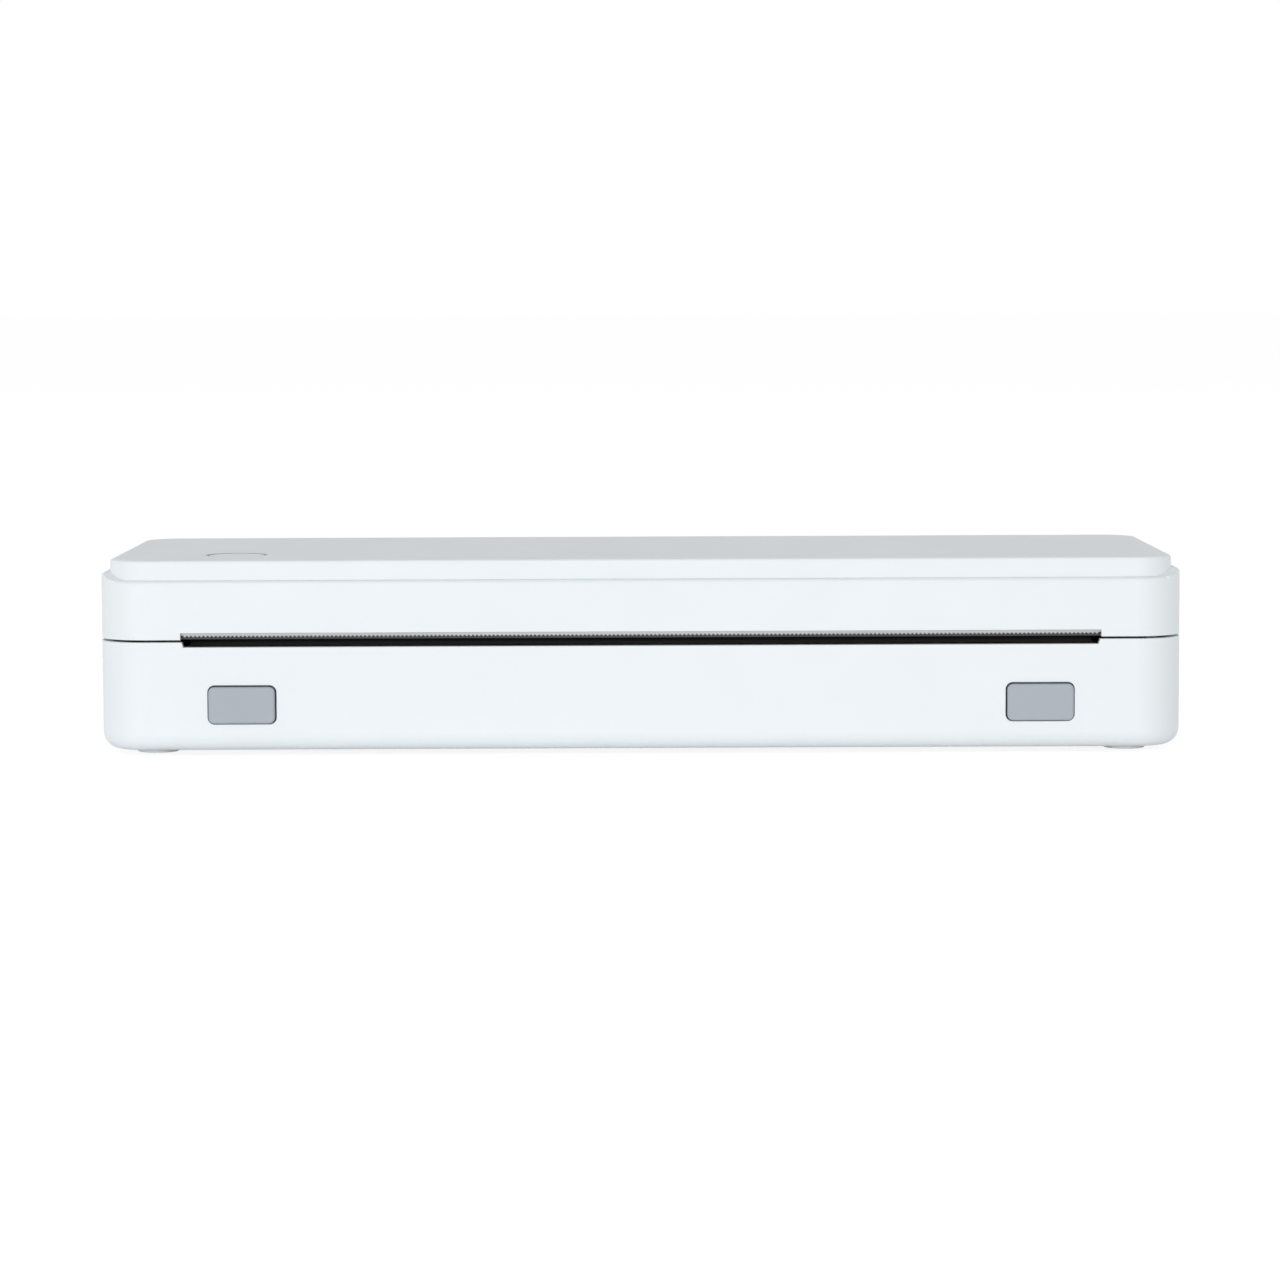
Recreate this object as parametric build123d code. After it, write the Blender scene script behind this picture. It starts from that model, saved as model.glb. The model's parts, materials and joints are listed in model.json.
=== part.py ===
from build123d import *
import math
import os

os.makedirs("parts", exist_ok=True)

# Millimetres, +Z up. X runs along the printer, the front faces -Y, and the origin is under its middle.

# Across: the paper slot and the space beyond each end of it
slot_width = 218.5
end_space = 19.75

# Front to back: the platen's axis, then gaps behind the platen, the roll trough and the battery cells
front_space = 13.5
bay_gap = 4.8
cell_gap = 2.85
back_space = 9.15

# Outside
foot_height = 1.2
parting_gap = 0.55
skirt_height = 14.05
plateau_height = 4.7
plateau_inset = 2.1
corner_radius = 11.0
bottom_round = 4.0
shoulder_round = 1.0
plateau_round = 0.7
side_rise = 1.6         # step beside the plateau above the step in front of it
side_rise_start = 3.0   # from the front and the back
side_rise_end = 8.0
wall = 2.2
floor_thickness = 2.2
roof_thickness = 2.0

# Clearances
gap = 0.4               # between moving neighbours
seat_gap = 0.3          # between a piece and its seat on another body
running_fit = 0.05      # radial, at pins and journals
opening_gap = 0.3       # round a button in its opening

# Cover hinge
nose_radius = 5.0
nose_wall = 2.0
ear_space = 31.0        # from the outside end to the middle of an ear
ear_width = 6.0
ear_notch = 2.4         # how far the cover's notch reaches past the nose
cheek_width = 2.4
hinge_pin_radius = 1.5
pin_short = 0.4         # pin's end inside the outer face of the cheek

# Paper path
slot_rise = 2.2         # slot top above the base's top edge
slot_drop = 1.2         # slot bottom below it
slot_slant = 0.65
tooth_pitch = 0.984
tooth_depth = 0.45
tooth_show = 1.1        # tear bar below the slot's top edge
bar_thickness = 1.0
bar_height = 5.6
bar_recess = 1.0        # cover wall left in front of the bar
bar_overlap = 2.0       # the bar's rebate past each end of the slot
guard_thickness = 1.0
guard_drop = 1.65       # below the slot's top edge
guard_overlap = 2.3     # above the tear bar
lip_thickness = 1.4

# Platen and its drive
platen_drop = 0.3       # platen's top below the base's top edge
platen_radius = 6.0
paper_clearance = 1.25  # slot end past the platen's end
shaft_radius = 2.5
bush_wall = 1.5
sheet = 1.2
cheek_space = 1.75      # cheek beyond the slot's end
gear_module = 0.5
gear_slack = 0.12
platen_teeth = 28
idler_teeth = 30
pinion_teeth = 12
gear_face = 2.6
gear_space = 10.0       # gears outside the cheek
motor_step = 23.8       # behind the platen's axis
motor_drop = 6.3        # below it
motor_radius = 9.0
motor_length = 8.4
motor_shaft = 1.0
stud_radius = 1.5
bracket_sheet = 1.0
bush_collar = 1.0       # collar past the bush's barrel
bush_collar_length = 0.8
frame_hole_radius = 3.2
frame_hole_space = 70.0

# Roll bay and paper guides
bay_floor = 2.2         # trough's underside above the floor
bay_radius = 17.8
bay_wall = 1.4
deck_drop = 3.0         # deck's top below the base's top edge
deck_sheet = 1.6
guide_thickness = 2.0
guide_rise = 0.6        # above the heat sink's top
guide_travel = 75.0
rack_module = 0.8
rack_pinion_teeth = 14
rack_thickness = 1.6
rack_back = 3.4
rack_slack = 0.2
foot_width = 1.8
guide_post_radius = 1.9
guide_window_radius = 6.5
guide_window_drop = 1.5  # below the roll's axis

# Release buttons and latches
button_space = 34.25    # from the outside end to the middle of a button
button_rise = 11.1      # middle above the underside of the base
button_width = 15.8
button_height = 8.75
button_corner = 1.4
button_shift = 0.1      # outwards and down in its opening
button_proud = 0.6
button_edge = 0.5
release_travel = 2.0
flange_rim = 2.6
flange_thickness = 1.2
latch_space = 5.5       # latch beyond the frame's cheek
latch_width = 4.0
leaf_thickness = 0.4
catch_depth = 1.6
catch_height = 1.4
catch_lift = 0.7        # above the cover's bottom edge
catch_chamfer = 0.6
catch_side = 0.6        # catch past each side of the leaf
arm_lift = 4.6          # arm's underside above the floor
arm_height = 4.0
arm_thickness = 2.0
slider_foot_half = 4.6
release_coil_radius = 2.0
release_wire = 0.4

# Print head
head_gap = 0.3
head_overhang = 0.75    # heat sink past the slot's end
head_lead = 7.0         # heat sink's front ahead of the platen's axis
head_width = 19.0
sink_thickness = 4.0
ceramic_thickness = 0.7
driver_thickness = 1.0
head_pivot_inset = 2.0
carrier_height = 3.3    # between the heat sink and the carrier's top
pivot_radius = 1.5
ceramic_half = 4.0      # before and behind the platen's axis
sink_groove_places = (11.0, 13.6)  # behind the heat sink's front
sink_groove = 1.2
head_coil_radius = 2.5
head_wire = 0.5

# Power button
power_space_x = 31.2    # from the outside end
power_space_y = 23.1    # from the outside front
power_radius = 6.8
power_gap = 0.3
power_sink = 0.08       # its top below the roof
power_round = 0.3
power_ring_wall = 0.5   # the dark ring that lines its opening
power_ring_sink = 0.03
power_travel = 0.5
power_flange = 1.2

# Electronics and battery
cell_radius = 9.15
cell_length = 65.0
cell_space = 10.2       # from the outside end to the first cell
cell_air = 0.5          # between the cells and the deck
cell_tip = 1.0
cell_tip_radius = 2.8
contact_sheet = 0.8
board_space = 13.0      # from the outside end
board_gap = 3.8         # from the last cell
board_back = 8.3        # from the outside back
board_width = 18.0
board_lift = 4.6
board_thickness = 1.6
usb_place = 44.0        # from the board's inner end
usb_width = 8.94
usb_height = 3.2
usb_shell = 0.3
pinhole_radius = 1.0
pinhole_space = 16.0    # beside the socket
ribbon_place = 8.0      # from the board's inner end
ribbon_width = 16.0
ribbon_space = 9.0      # in front of the hinge axis
ribbon_thickness = 0.3
ribbon_rise = 13.4      # between the deck and the cover, across the hinge
ribbon_slack = 4.0      # how far the loop bows forward

# Plain recess under the base, and ribs of the cover's liner
recess_width = 62.0
recess_length = 28.0
recess_drop = 0.3
recess_corner = 2.0
liner_sheet = 1.0
liner_corner = 4.0
liner_rib_height = 0.8
liner_rib_width = 1.0
liner_rib_places = (14.0, 52.0, 78.0, 104.0)

# Feet and screws
foot_space_x = 12.8     # from the outside end
foot_space_y = 13.0     # from the outside front and back
foot_radius = 5.0
foot_recess = 0.6
screw_radius = 1.0
screw_head = 1.9
screw_head_height = 0.9
screw_length = 5.0
boss_radius = 3.0

# Levels and faces that follow from the sizes above
width = slot_width + 2 * end_space
trough_radius = bay_radius + bay_wall
depth = front_space + platen_radius + bay_gap + 2 * trough_radius + cell_gap + 2 * cell_radius + back_space
base_height = floor_thickness + gap + 2 * cell_radius + cell_air + deck_sheet + deck_drop
half_x = width / 2
front = -depth / 2
back = depth / 2
floor_top = foot_height + floor_thickness
base_top = foot_height + base_height
cover_bottom = base_top + parting_gap
shoulder = cover_bottom + skirt_height
roof = shoulder + plateau_height
ceiling = roof - roof_thickness
front_in = front + wall
back_in = back - wall
side_in = half_x - wall
hinge_y = back - nose_radius
hinge_z = (base_top + cover_bottom) / 2
ledge_z = hinge_z - nose_radius - gap
slot_half = slot_width / 2
platen_y = front + front_space
platen_z = base_top - platen_drop - platen_radius
platen_length = slot_width - 2 * paper_clearance
cheek_inside = slot_half + cheek_space
gear_inside = cheek_inside + gear_space
latch_x = cheek_inside + latch_space
ear_centre = half_x - ear_space
button_x = half_x - button_space
button_z = foot_height + button_rise
bay_y = platen_y + platen_radius + bay_gap + trough_radius
bay_z = floor_top + bay_floor + trough_radius
bay_half = slot_half - 0.05
deck_top = base_top - deck_drop
motor_y = platen_y + motor_step
motor_z = platen_z - motor_drop
cell_y = bay_y + trough_radius + cell_gap + cell_radius
cells_start = -half_x + cell_space
cells_end = cells_start + 2 * cell_length + cell_tip
board_x1 = half_x - board_space
board_x0 = cells_end + board_gap
board_y1 = back - board_back
board_y0 = board_y1 - board_width
usb_x = board_x0 + usb_place
ribbon_x0 = board_x0 + ribbon_place
ribbon_x1 = ribbon_x0 + ribbon_width
ribbon_y = hinge_y - ribbon_space
power_x = -half_x + power_space_x
power_y = front + power_space_y
foot_x = half_x - foot_space_x
foot_y = depth / 2 - foot_space_y
head_half = slot_half + head_overhang
head_front = platen_y - head_lead
head_back = head_front + head_width
head_pivot_y = head_back - head_pivot_inset
slot_top = base_top + slot_rise
slot_bottom = base_top - slot_drop
deck_under = deck_top - deck_sheet
platen_pitch = platen_teeth * gear_module / 2
idler_pitch = idler_teeth * gear_module / 2
pinion_pitch = pinion_teeth * gear_module / 2
rack_pitch = rack_pinion_teeth * rack_module / 2
bracket_outside = gear_inside - 0.6
bracket_inside = bracket_outside - bracket_sheet
head_under = platen_z + platen_radius + head_gap
sink_under = head_under + ceramic_thickness
sink_top = sink_under + sink_thickness
guide_top = sink_top + guide_rise
carrier_under = sink_top + carrier_height
head_pivot_z = sink_under + sink_thickness / 2
frame_floor = floor_top + 2.0
frame_back = platen_y + platen_radius
low_deck_top = ledge_z - 0.7
low_deck_under = low_deck_top - sheet
low_deck_step = hinge_y - nose_radius - 1.1
board_under = floor_top + board_lift
board_top = board_under + board_thickness
cell_z = floor_top + gap + cell_radius
rack_under = floor_top + gap
key_board_top = ceiling - 5.5
spring_post = platen_y - 4.8
liner_under = ceiling - 2.1
bar_tip = slot_top - tooth_show
bar_top = bar_tip + bar_height


def block(x, y, z):
    size = Box(x[1] - x[0], y[1] - y[0], z[1] - z[0])
    return Pos((x[0] + x[1]) / 2, (y[0] + y[1]) / 2, (z[0] + z[1]) / 2) * size


def rod_x(radius, x, y, z):
    return Pos((x[0] + x[1]) / 2, y, z) * Rot(0, 90, 0) * Cylinder(radius, x[1] - x[0])


def rod_y(radius, x, y, z):
    return Pos(x, (y[0] + y[1]) / 2, z) * Rot(90, 0, 0) * Cylinder(radius, y[1] - y[0])


def rod_z(radius, x, y, z):
    return Pos(x, y, (z[0] + z[1]) / 2) * Cylinder(radius, z[1] - z[0])


def along_x(points, x):
    """A closed outline of (y, z) points, pushed from x[0] to x[1]."""
    return extrude(Plane.YZ.offset(x[0]) * Polygon(*points, align=None), x[1] - x[0], dir=(1, 0, 0))


def along_y(sketch, y):
    """A sketch in X and Z, pushed from y[0] to y[1]."""
    wall_plane = Plane(origin=(0, y[1], 0), x_dir=(1, 0, 0), z_dir=(0, -1, 0))
    return extrude(wall_plane * sketch, y[1] - y[0], dir=(0, -1, 0))


def mirrored(shape):
    """The shape and its mirror image on the other side of X = 0, as two solids."""
    return Compound(children=[shape, mirror(shape, about=Plane.YZ)])


def outline(inset):
    return RectangleRounded(width - 2 * inset, depth - 2 * inset, corner_radius - inset)


def prism(inset, z0, z1):
    return extrude(Pos(0, 0, z0) * outline(inset), amount=z1 - z0)


def side(span, sign):
    """A span of X on the right (sign 1) or mirrored to the left (sign -1)."""
    return (span[0], span[1]) if sign > 0 else (-span[1], -span[0])


def gear(teeth, module, phase, slack):
    """A flat gear outline with a tooth centred at the phase angle, in radians."""
    pitch_radius = teeth * module / 2
    tip = pitch_radius + 0.9 * module
    root = pitch_radius - 1.15 * module
    half_pitch = math.pi * module / 4 - slack / 2
    slope = math.tan(math.radians(22))
    half_tip = (half_pitch - 0.9 * module * slope) / tip
    half_root = (half_pitch + 1.15 * module * slope) / root
    points = []
    for k in range(teeth):
        middle = phase + 2 * math.pi * k / teeth
        for radius, turn in ((root, -half_root), (tip, -half_tip), (tip, half_tip), (root, half_root)):
            angle = middle + turn
            points.append((radius * math.cos(angle), radius * math.sin(angle)))
    return Polygon(*points, align=None)


def rack(x0, x1, pitch_y, toward, slack):
    """A rack's outline in X and Y: teeth point to +Y (toward 1) or -Y, with a gap at X = 0."""
    pitch = math.pi * rack_module
    slope = math.tan(math.radians(22))
    tip_half = pitch / 4 - slack / 2 - 0.9 * rack_module * slope
    root_half = pitch / 4 - slack / 2 + 1.15 * rack_module * slope
    tip_y = pitch_y + toward * 0.9 * rack_module
    root_y = pitch_y - toward * 1.15 * rack_module
    back_y = pitch_y - toward * rack_back
    points = [(x0, back_y), (x0, root_y)]
    first = math.ceil((x0 + root_half) / pitch - 0.5)
    last = math.floor((x1 - root_half) / pitch - 0.5)
    for k in range(first, last + 1):
        middle = (k + 0.5) * pitch
        points += [(middle - root_half, root_y), (middle - tip_half, tip_y)]
        points += [(middle + tip_half, tip_y), (middle + root_half, root_y)]
    points += [(x1, root_y), (x1, back_y)]
    return Polygon(*points, align=None)


def coil(radius, wire, length, turns):
    """A coil spring standing on Z = 0, built from short straight runs of square wire."""
    steps = 8 * turns
    rise = (length - wire) / steps
    faces = []
    for k in range(steps + 1):
        angle = 2 * math.pi * k / 8
        middle = wire / 2 + rise * k
        corners = []
        for out, up in ((-1, -1), (1, -1), (1, 1), (-1, 1)):
            reach = radius - wire / 2 + out * wire / 2
            height = middle + up * wire / 2
            corners.append((reach * math.cos(angle), reach * math.sin(angle), height))
        faces.append(Wire.make_polygon(corners, close=True))
    return Solid.make_loft(faces, ruled=True)


def screw(x, y, z, down=True):
    """A pan-head screw whose head rests on the level z."""
    turn = 1 if down else -1
    head = rod_z(screw_head, x, y, sorted((z, z + turn * screw_head_height)))
    shank = rod_z(screw_radius, x, y, sorted((z, z - turn * screw_length)))
    return head + shank


def idler_centre():
    """Where the idler meshes with the platen's gear and the motor's pinion, on the lower side."""
    first = platen_pitch + idler_pitch
    second = idler_pitch + pinion_pitch
    dy = motor_y - platen_y
    dz = motor_z - platen_z
    apart = math.hypot(dy, dz)
    reach = (first**2 - second**2 + apart**2) / (2 * apart)
    rise = math.sqrt(first**2 - reach**2)
    y = platen_y + (reach * dy + rise * dz) / apart
    z = platen_z + (reach * dz - rise * dy) / apart
    return y, z


def gear_phases():
    """Tooth angles of the platen gear, the idler and the pinion, so that teeth stand in gaps."""
    idler_y, idler_z = idler_centre()
    to_idler = math.atan2(idler_z - platen_z, idler_y - platen_y)
    idler_phase = to_idler + math.pi + math.pi / idler_teeth
    to_motor = math.atan2(motor_z - idler_z, motor_y - idler_y)
    step = 2 * math.pi / idler_teeth
    past = (to_motor - idler_phase) % step
    half_pitch = math.pi * gear_module / 2
    pinion_phase = to_motor + math.pi + (past * idler_pitch - half_pitch) / pinion_pitch
    return to_idler, idler_phase, pinion_phase


def gear_wheel(teeth, phase, y, z, bore):
    sketch = Plane.YZ.offset(gear_inside) * (Pos(y, z) * gear(teeth, gear_module, phase, gear_slack))
    disc = extrude(sketch, gear_face, dir=(1, 0, 0))
    if bore:
        disc -= rod_x(bore, (gear_inside - 1, gear_inside + gear_face + 1), y, z)
    return disc


frame_screw_places = [(x, frame_back - 5.0) for x in (-slot_half + 9.25, -35.0, 35.0, slot_half - 9.25)]
board_screw_places = [(board_x0 + 4, board_y0 + 2.6), (board_x1 - 4, board_y0 + 2.6),
                      (board_x0 + 4, board_y1 - 2.6), (board_x1 - 4, board_y1 - 2.6)]
deck_front_places = [(-side_in + 4.4, bay_y + bay_radius), (side_in - 4.4, bay_y + bay_radius)]
deck_rear_places = [(cells_start + 58.8, back_in - 2.8), (board_x1 - 36.0, back_in - 2.8)]
carrier_places = [(x, head_front + 4.0) for x in (-head_half + 6, -50.0, 50.0, head_half - 6)]
key_places = [(power_x - 10.0, power_y + 5.4), (power_x + 10.0, power_y - 5.6)]
liner_places = [(x, y) for x in (-bay_half + 9.2, bay_half - 9.2) for y in (bay_y - 5, bay_y + 29)]


def boss(x, y, z0, z1):
    return rod_z(boss_radius, x, y, (z0, z1))


def hinge_ear(sign):
    span = side((ear_centre - ear_width / 2, ear_centre + ear_width / 2), sign)
    radius = nose_radius - gap
    web = [(hinge_y - radius, hinge_z), (hinge_y - radius, hinge_z - 7.5), (back_in + 0.2, hinge_z - 13.5),
           (back_in + 0.2, ledge_z), (hinge_y + radius, ledge_z), (hinge_y + radius, hinge_z)]
    return rod_x(radius, span, hinge_y, hinge_z) + along_x(web, span)


def base_shell():
    outer = prism(0, foot_height, base_top)
    outer = fillet(outer.edges().group_by(Axis.Z)[0], bottom_round)
    shell = outer - prism(wall, floor_top, base_top + 1)
    full = (-half_x - 1, half_x + 1)
    shell -= rod_x(nose_radius + gap, full, hinge_y, hinge_z)
    shell -= block(full, (hinge_y, back + 1), (ledge_z, base_top + 1))
    return shell


def base_openings():
    cuts = []
    for x in (-button_x, button_x):
        hole = RectangleRounded(button_width + 2 * opening_gap, button_height + 2 * opening_gap,
                                button_corner + opening_gap)
        cuts.append(along_y(Pos(x, button_z) * hole, (front - 1, front_in + 0.5)))
    low = slot_half - slot_slant
    notch = Polygon((-slot_half, base_top + 1), (-low, slot_bottom), (low, slot_bottom),
                    (slot_half, base_top + 1), align=None)
    cuts.append(along_y(notch, (front - 1, front_in + 0.5)))
    port = RectangleRounded(usb_width + 0.7, usb_height + 0.7, usb_height / 2)
    cuts.append(along_y(Pos(usb_x, board_top + usb_height / 2) * port, (back_in - 0.5, back + 1)))
    pinhole = (back_in - 1, back + 1)
    cuts.append(rod_y(pinhole_radius, usb_x - pinhole_space, pinhole, board_top + usb_height / 2))
    for x in (-foot_x, foot_x):
        for y in (-foot_y, foot_y):
            cuts.append(rod_z(foot_radius, x, y, (foot_height - 1, foot_height + foot_recess)))
    panel = RectangleRounded(recess_width, recess_length, recess_corner)
    cuts.append(extrude(Pos(0, 0, foot_height - 1) * panel, amount=1 + recess_drop))
    return cuts


def base_fixings():
    adds = [boss(x, y, floor_top - 0.5, frame_floor) for x, y in frame_screw_places]
    adds += [boss(x, y, floor_top - 0.5, board_under) for x, y in board_screw_places]
    adds += [boss(x, y, floor_top - 0.5, deck_under) for x, y in deck_front_places]
    adds += [boss(x, y, floor_top - 0.5, low_deck_under) for x, y in deck_rear_places]
    adds.append(rod_z(guide_post_radius, 0, bay_y, (floor_top - 0.5, rack_under + rack_thickness)))
    return adds


def release_guides():
    adds = []
    for sign in (-1, 1):
        post = side((button_x - 4, button_x + 4), sign)
        adds.append(block(post, (spring_post, spring_post + 1.2), (floor_top - 0.5, button_z + 0.5)))
        for edge in (-1, 1):
            inner = button_x + edge * (slider_foot_half + gap)
            outer = inner + edge * 1.4
            rib = side((min(inner, outer), max(inner, outer)), sign)
            adds.append(block(rib, (front_in - 0.5, spring_post), (floor_top - 0.5, floor_top + 1.8)))
    return adds


def cell_holders():
    saddle_top = floor_top + 4.0
    adds = []
    for x in (cells_start + 18, cells_start + 48, cells_end - 48, cells_end - 18):
        rib = block((x - 1, x + 1), (cell_y - 8, cell_y + 8), (floor_top - 0.5, saddle_top))
        adds.append(rib - rod_x(cell_radius + running_fit, (x - 2, x + 2), cell_y, cell_z))
    for near, far in ((cells_start - contact_sheet - 1.4, cells_start - contact_sheet),
                      (cells_end + cell_tip + contact_sheet, cells_end + cell_tip + 1.4 + contact_sheet)):
        adds.append(block((near, far), (cell_y - 7, cell_y + 7), (floor_top - 0.5, cell_z + 5)))
    return adds


def base_housing():
    body = base_shell()
    for add in base_fixings() + release_guides() + cell_holders() + [hinge_ear(-1), hinge_ear(1)]:
        body += add
    for cut in base_openings():
        body -= cut
    for x, y in frame_screw_places:
        body -= rod_z(screw_radius, x, y, (frame_floor + sheet - screw_length, frame_floor + 1))
    for x, y in board_screw_places:
        body -= rod_z(screw_radius, x, y, (board_top - screw_length, board_under + 1))
    for x, y in deck_front_places:
        body -= rod_z(screw_radius, x, y, (deck_top - screw_length, deck_top))
    for x, y in deck_rear_places:
        body -= rod_z(screw_radius, x, y, (low_deck_top - screw_head_height - screw_length, low_deck_top))
    for sign in (-1, 1):
        bore = side((ear_centre - ear_width, ear_centre + ear_width), sign)
        body -= rod_x(hinge_pin_radius, bore, hinge_y, hinge_z)
    return body


def rubber_feet():
    places = [(x, y) for x in (-foot_x, foot_x) for y in (-foot_y, foot_y)]
    feet = []
    for x, y in places:
        foot = rod_z(foot_radius, x, y, (0, foot_height + foot_recess))
        feet.append(fillet(foot.edges().group_by(Axis.Z)[0], 0.4))
    return Compound(children=feet)


def hinge_pins():
    reach = ear_width / 2 + gap + cheek_width - pin_short
    return mirrored(rod_x(hinge_pin_radius, (ear_centre - reach, ear_centre + reach), hinge_y, hinge_z))


def frame_cheek():
    low = frame_floor
    points = [(platen_y - 5.5, low + 6), (platen_y - 4.0, low), (frame_back, low), (frame_back, platen_z)]
    points += [(platen_y + 3.5, platen_z + 5.0), (platen_y - 3.5, platen_z + 5.0)]
    points.append((platen_y - 5.5, platen_z + 1.5))
    cheek = along_x(points, (cheek_inside, cheek_inside + sheet))
    bush = shaft_radius + running_fit + bush_wall
    return cheek - rod_x(bush, (cheek_inside - 1, cheek_inside + sheet + 1), platen_y, platen_z)


def mechanism_frame():
    reach = cheek_inside + sheet
    plate = block((-reach, reach), (platen_y - 3.4, frame_back), (frame_floor, frame_floor + sheet))
    body = plate + frame_cheek() + mirror(frame_cheek(), about=Plane.YZ)
    for x, y in frame_screw_places:
        body -= rod_z(screw_radius, x, y, (frame_floor - 1, frame_floor + sheet + 1))
    for x in (-frame_hole_space, 0.0, frame_hole_space):
        body -= rod_z(frame_hole_radius, x, frame_back - 5.0, (frame_floor - 1, frame_floor + sheet + 1))
    return body


def platen_bushes():
    bore = shaft_radius + running_fit
    seat = cheek_inside + sheet
    end = seat + bush_collar_length
    barrel = rod_x(bore + bush_wall, (cheek_inside - 0.4, end), platen_y, platen_z)
    collar = rod_x(bore + bush_wall + bush_collar, (seat, end), platen_y, platen_z)
    bush = barrel + collar - rod_x(bore, (cheek_inside - 1, cheek_inside + 4), platen_y, platen_z)
    return mirrored(bush)


def exit_lip():
    low = slot_half - slot_slant
    inner = platen_y - platen_radius - gap - 0.2
    top = slot_bottom
    points = [(front_in, top - 5), (front_in + 1.0, top - 5), (front_in + 1.0, top - lip_thickness),
              (inner, top - lip_thickness), (inner, top - 0.6), (inner - 0.6, top), (front_in, top)]
    return along_x(points, (-low, low))


def bay_trough():
    span = (-bay_half - 1.2, bay_half + 1.2)
    tube = rod_x(trough_radius, span, bay_y, bay_z) - rod_x(bay_radius, span, bay_y, bay_z)
    lower = tube & block(span, (-depth, depth), (0, deck_top))
    reach = trough_radius
    for sign in (-1, 1):
        end = side((bay_half, bay_half + 1.2), sign)
        lower += block(end, (bay_y - reach, bay_y + reach), (floor_top, deck_top))
    return lower


def guide_slots():
    cuts = []
    for sign in (-1, 1):
        foot = bay_y + sign * (rack_pitch + foot_width / 2 + 0.2)
        slot = side((bay_half - guide_travel - 8, bay_half), sign)
        reach = foot_width / 2 + gap
        cuts.append(block(slot, (foot - reach, foot + reach), (floor_top, deck_top - 8)))
    return cuts


def deck_plates():
    rim = wall + gap
    level = prism(rim, deck_under, deck_top)
    rear = level & block((-half_x, half_x), (bay_y + bay_radius, low_deck_step), (0, roof))
    step = prism(rim, low_deck_under, deck_top) & block(
        (-half_x, half_x), (low_deck_step - sheet, low_deck_step), (0, roof))
    low = prism(rim, low_deck_under, low_deck_top) & block(
        (-half_x, half_x), (low_deck_step - sheet, back), (0, roof))
    nose_span = (frame_back + 2.4, bay_y - bay_radius + 0.4)
    nose = block((-bay_half - 1.2, bay_half + 1.2), nose_span, (deck_under, deck_top))
    plates = rear + step + low + nose
    for sign in (-1, 1):
        wing = side((bay_half, half_x), sign)
        plates += level & block(wing, (bay_y + bay_radius - 9.0, bay_y + bay_radius + 1), (0, roof))
        notch = side((ear_centre - ear_width / 2 - gap, ear_centre + ear_width / 2 + gap), sign)
        plates -= block(notch, (low_deck_step + 0.2, back), (low_deck_under - 1, low_deck_top + 1))
    return plates


def inner_deck():
    body = deck_plates() + bay_trough()
    for cut in guide_slots():
        body -= cut
    ribbon_slot = (ribbon_y - 0.9, ribbon_y + 0.9)
    body -= block((ribbon_x0 - 1, ribbon_x1 + 1), ribbon_slot, (deck_under - 1, deck_top + 1))
    for x, y in deck_front_places:
        body -= rod_z(screw_radius, x, y, (deck_under - 1, deck_top + 1))
    for x, y in deck_rear_places:
        body -= rod_z(screw_radius, x, y, (low_deck_under - 1, low_deck_top + 1))
        body -= rod_z(screw_head, x, y, (low_deck_top - screw_head_height, low_deck_top + 1))
    return body


def base_screws():
    screws = [screw(x, y, frame_floor + sheet) for x, y in frame_screw_places]
    screws += [screw(x, y, board_top) for x, y in board_screw_places]
    screws += [screw(x, y, deck_top) for x, y in deck_front_places]
    screws += [screw(x, y, low_deck_top - screw_head_height) for x, y in deck_rear_places]
    return Compound(children=screws)


def platen_shaft():
    span = (-cheek_inside - sheet - 2.4, gear_inside + gear_face + 0.6)
    body = rod_x(shaft_radius, span, platen_y, platen_z)
    clip = -cheek_inside - sheet - 0.8 - gap
    return body + rod_x(shaft_radius + 1.2, (clip - 0.6, clip), platen_y, platen_z)


def platen_roller():
    half = platen_length / 2
    tube = rod_x(platen_radius, (-half, half), platen_y, platen_z)
    return tube - rod_x(shaft_radius, (-half - 1, half + 1), platen_y, platen_z)


def platen_gear():
    hub = (bracket_outside - 3.0, gear_inside + gear_face)
    wheel = gear_wheel(platen_teeth, gear_phases()[0], platen_y, platen_z, 0)
    wheel += rod_x(shaft_radius + 1.5, hub, platen_y, platen_z)
    return wheel - rod_x(shaft_radius, (hub[0] - 1, hub[1] + 1), platen_y, platen_z)


def idler_gear():
    y, z = idler_centre()
    return gear_wheel(idler_teeth, gear_phases()[1], y, z, stud_radius + running_fit)


def motor_pinion():
    wheel = gear_wheel(pinion_teeth, gear_phases()[2], motor_y, motor_z, 0)
    return wheel + rod_x(motor_shaft, (bracket_inside - 4, gear_inside + gear_face + 0.4), motor_y, motor_z)


def gear_bracket():
    y, z = idler_centre()
    points = [(motor_y + 5, motor_z - 10), (motor_y + 10, motor_z), (motor_y + 5, motor_z + 8),
              (y - 5, z + 7), (y - 6.5, z), (y - 6.5, floor_top), (y + 3, floor_top)]
    plate = along_x(points, (bracket_inside, bracket_outside))
    foot_span = (cheek_inside + sheet + 1, bracket_outside)
    foot = block(foot_span, (y - 6.5, y + 0.5), (floor_top, floor_top + bracket_sheet))
    stud = rod_x(stud_radius, (bracket_inside, gear_inside + gear_face + 0.3), y, z)
    cap = rod_x(stud_radius + 0.8, (gear_inside + gear_face + 0.3, gear_inside + gear_face + 0.9), y, z)
    body = plate + foot + stud + cap
    return body - rod_x(motor_shaft + 1.4, (bracket_inside - 1, bracket_outside + 1), motor_y, motor_z)


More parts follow.
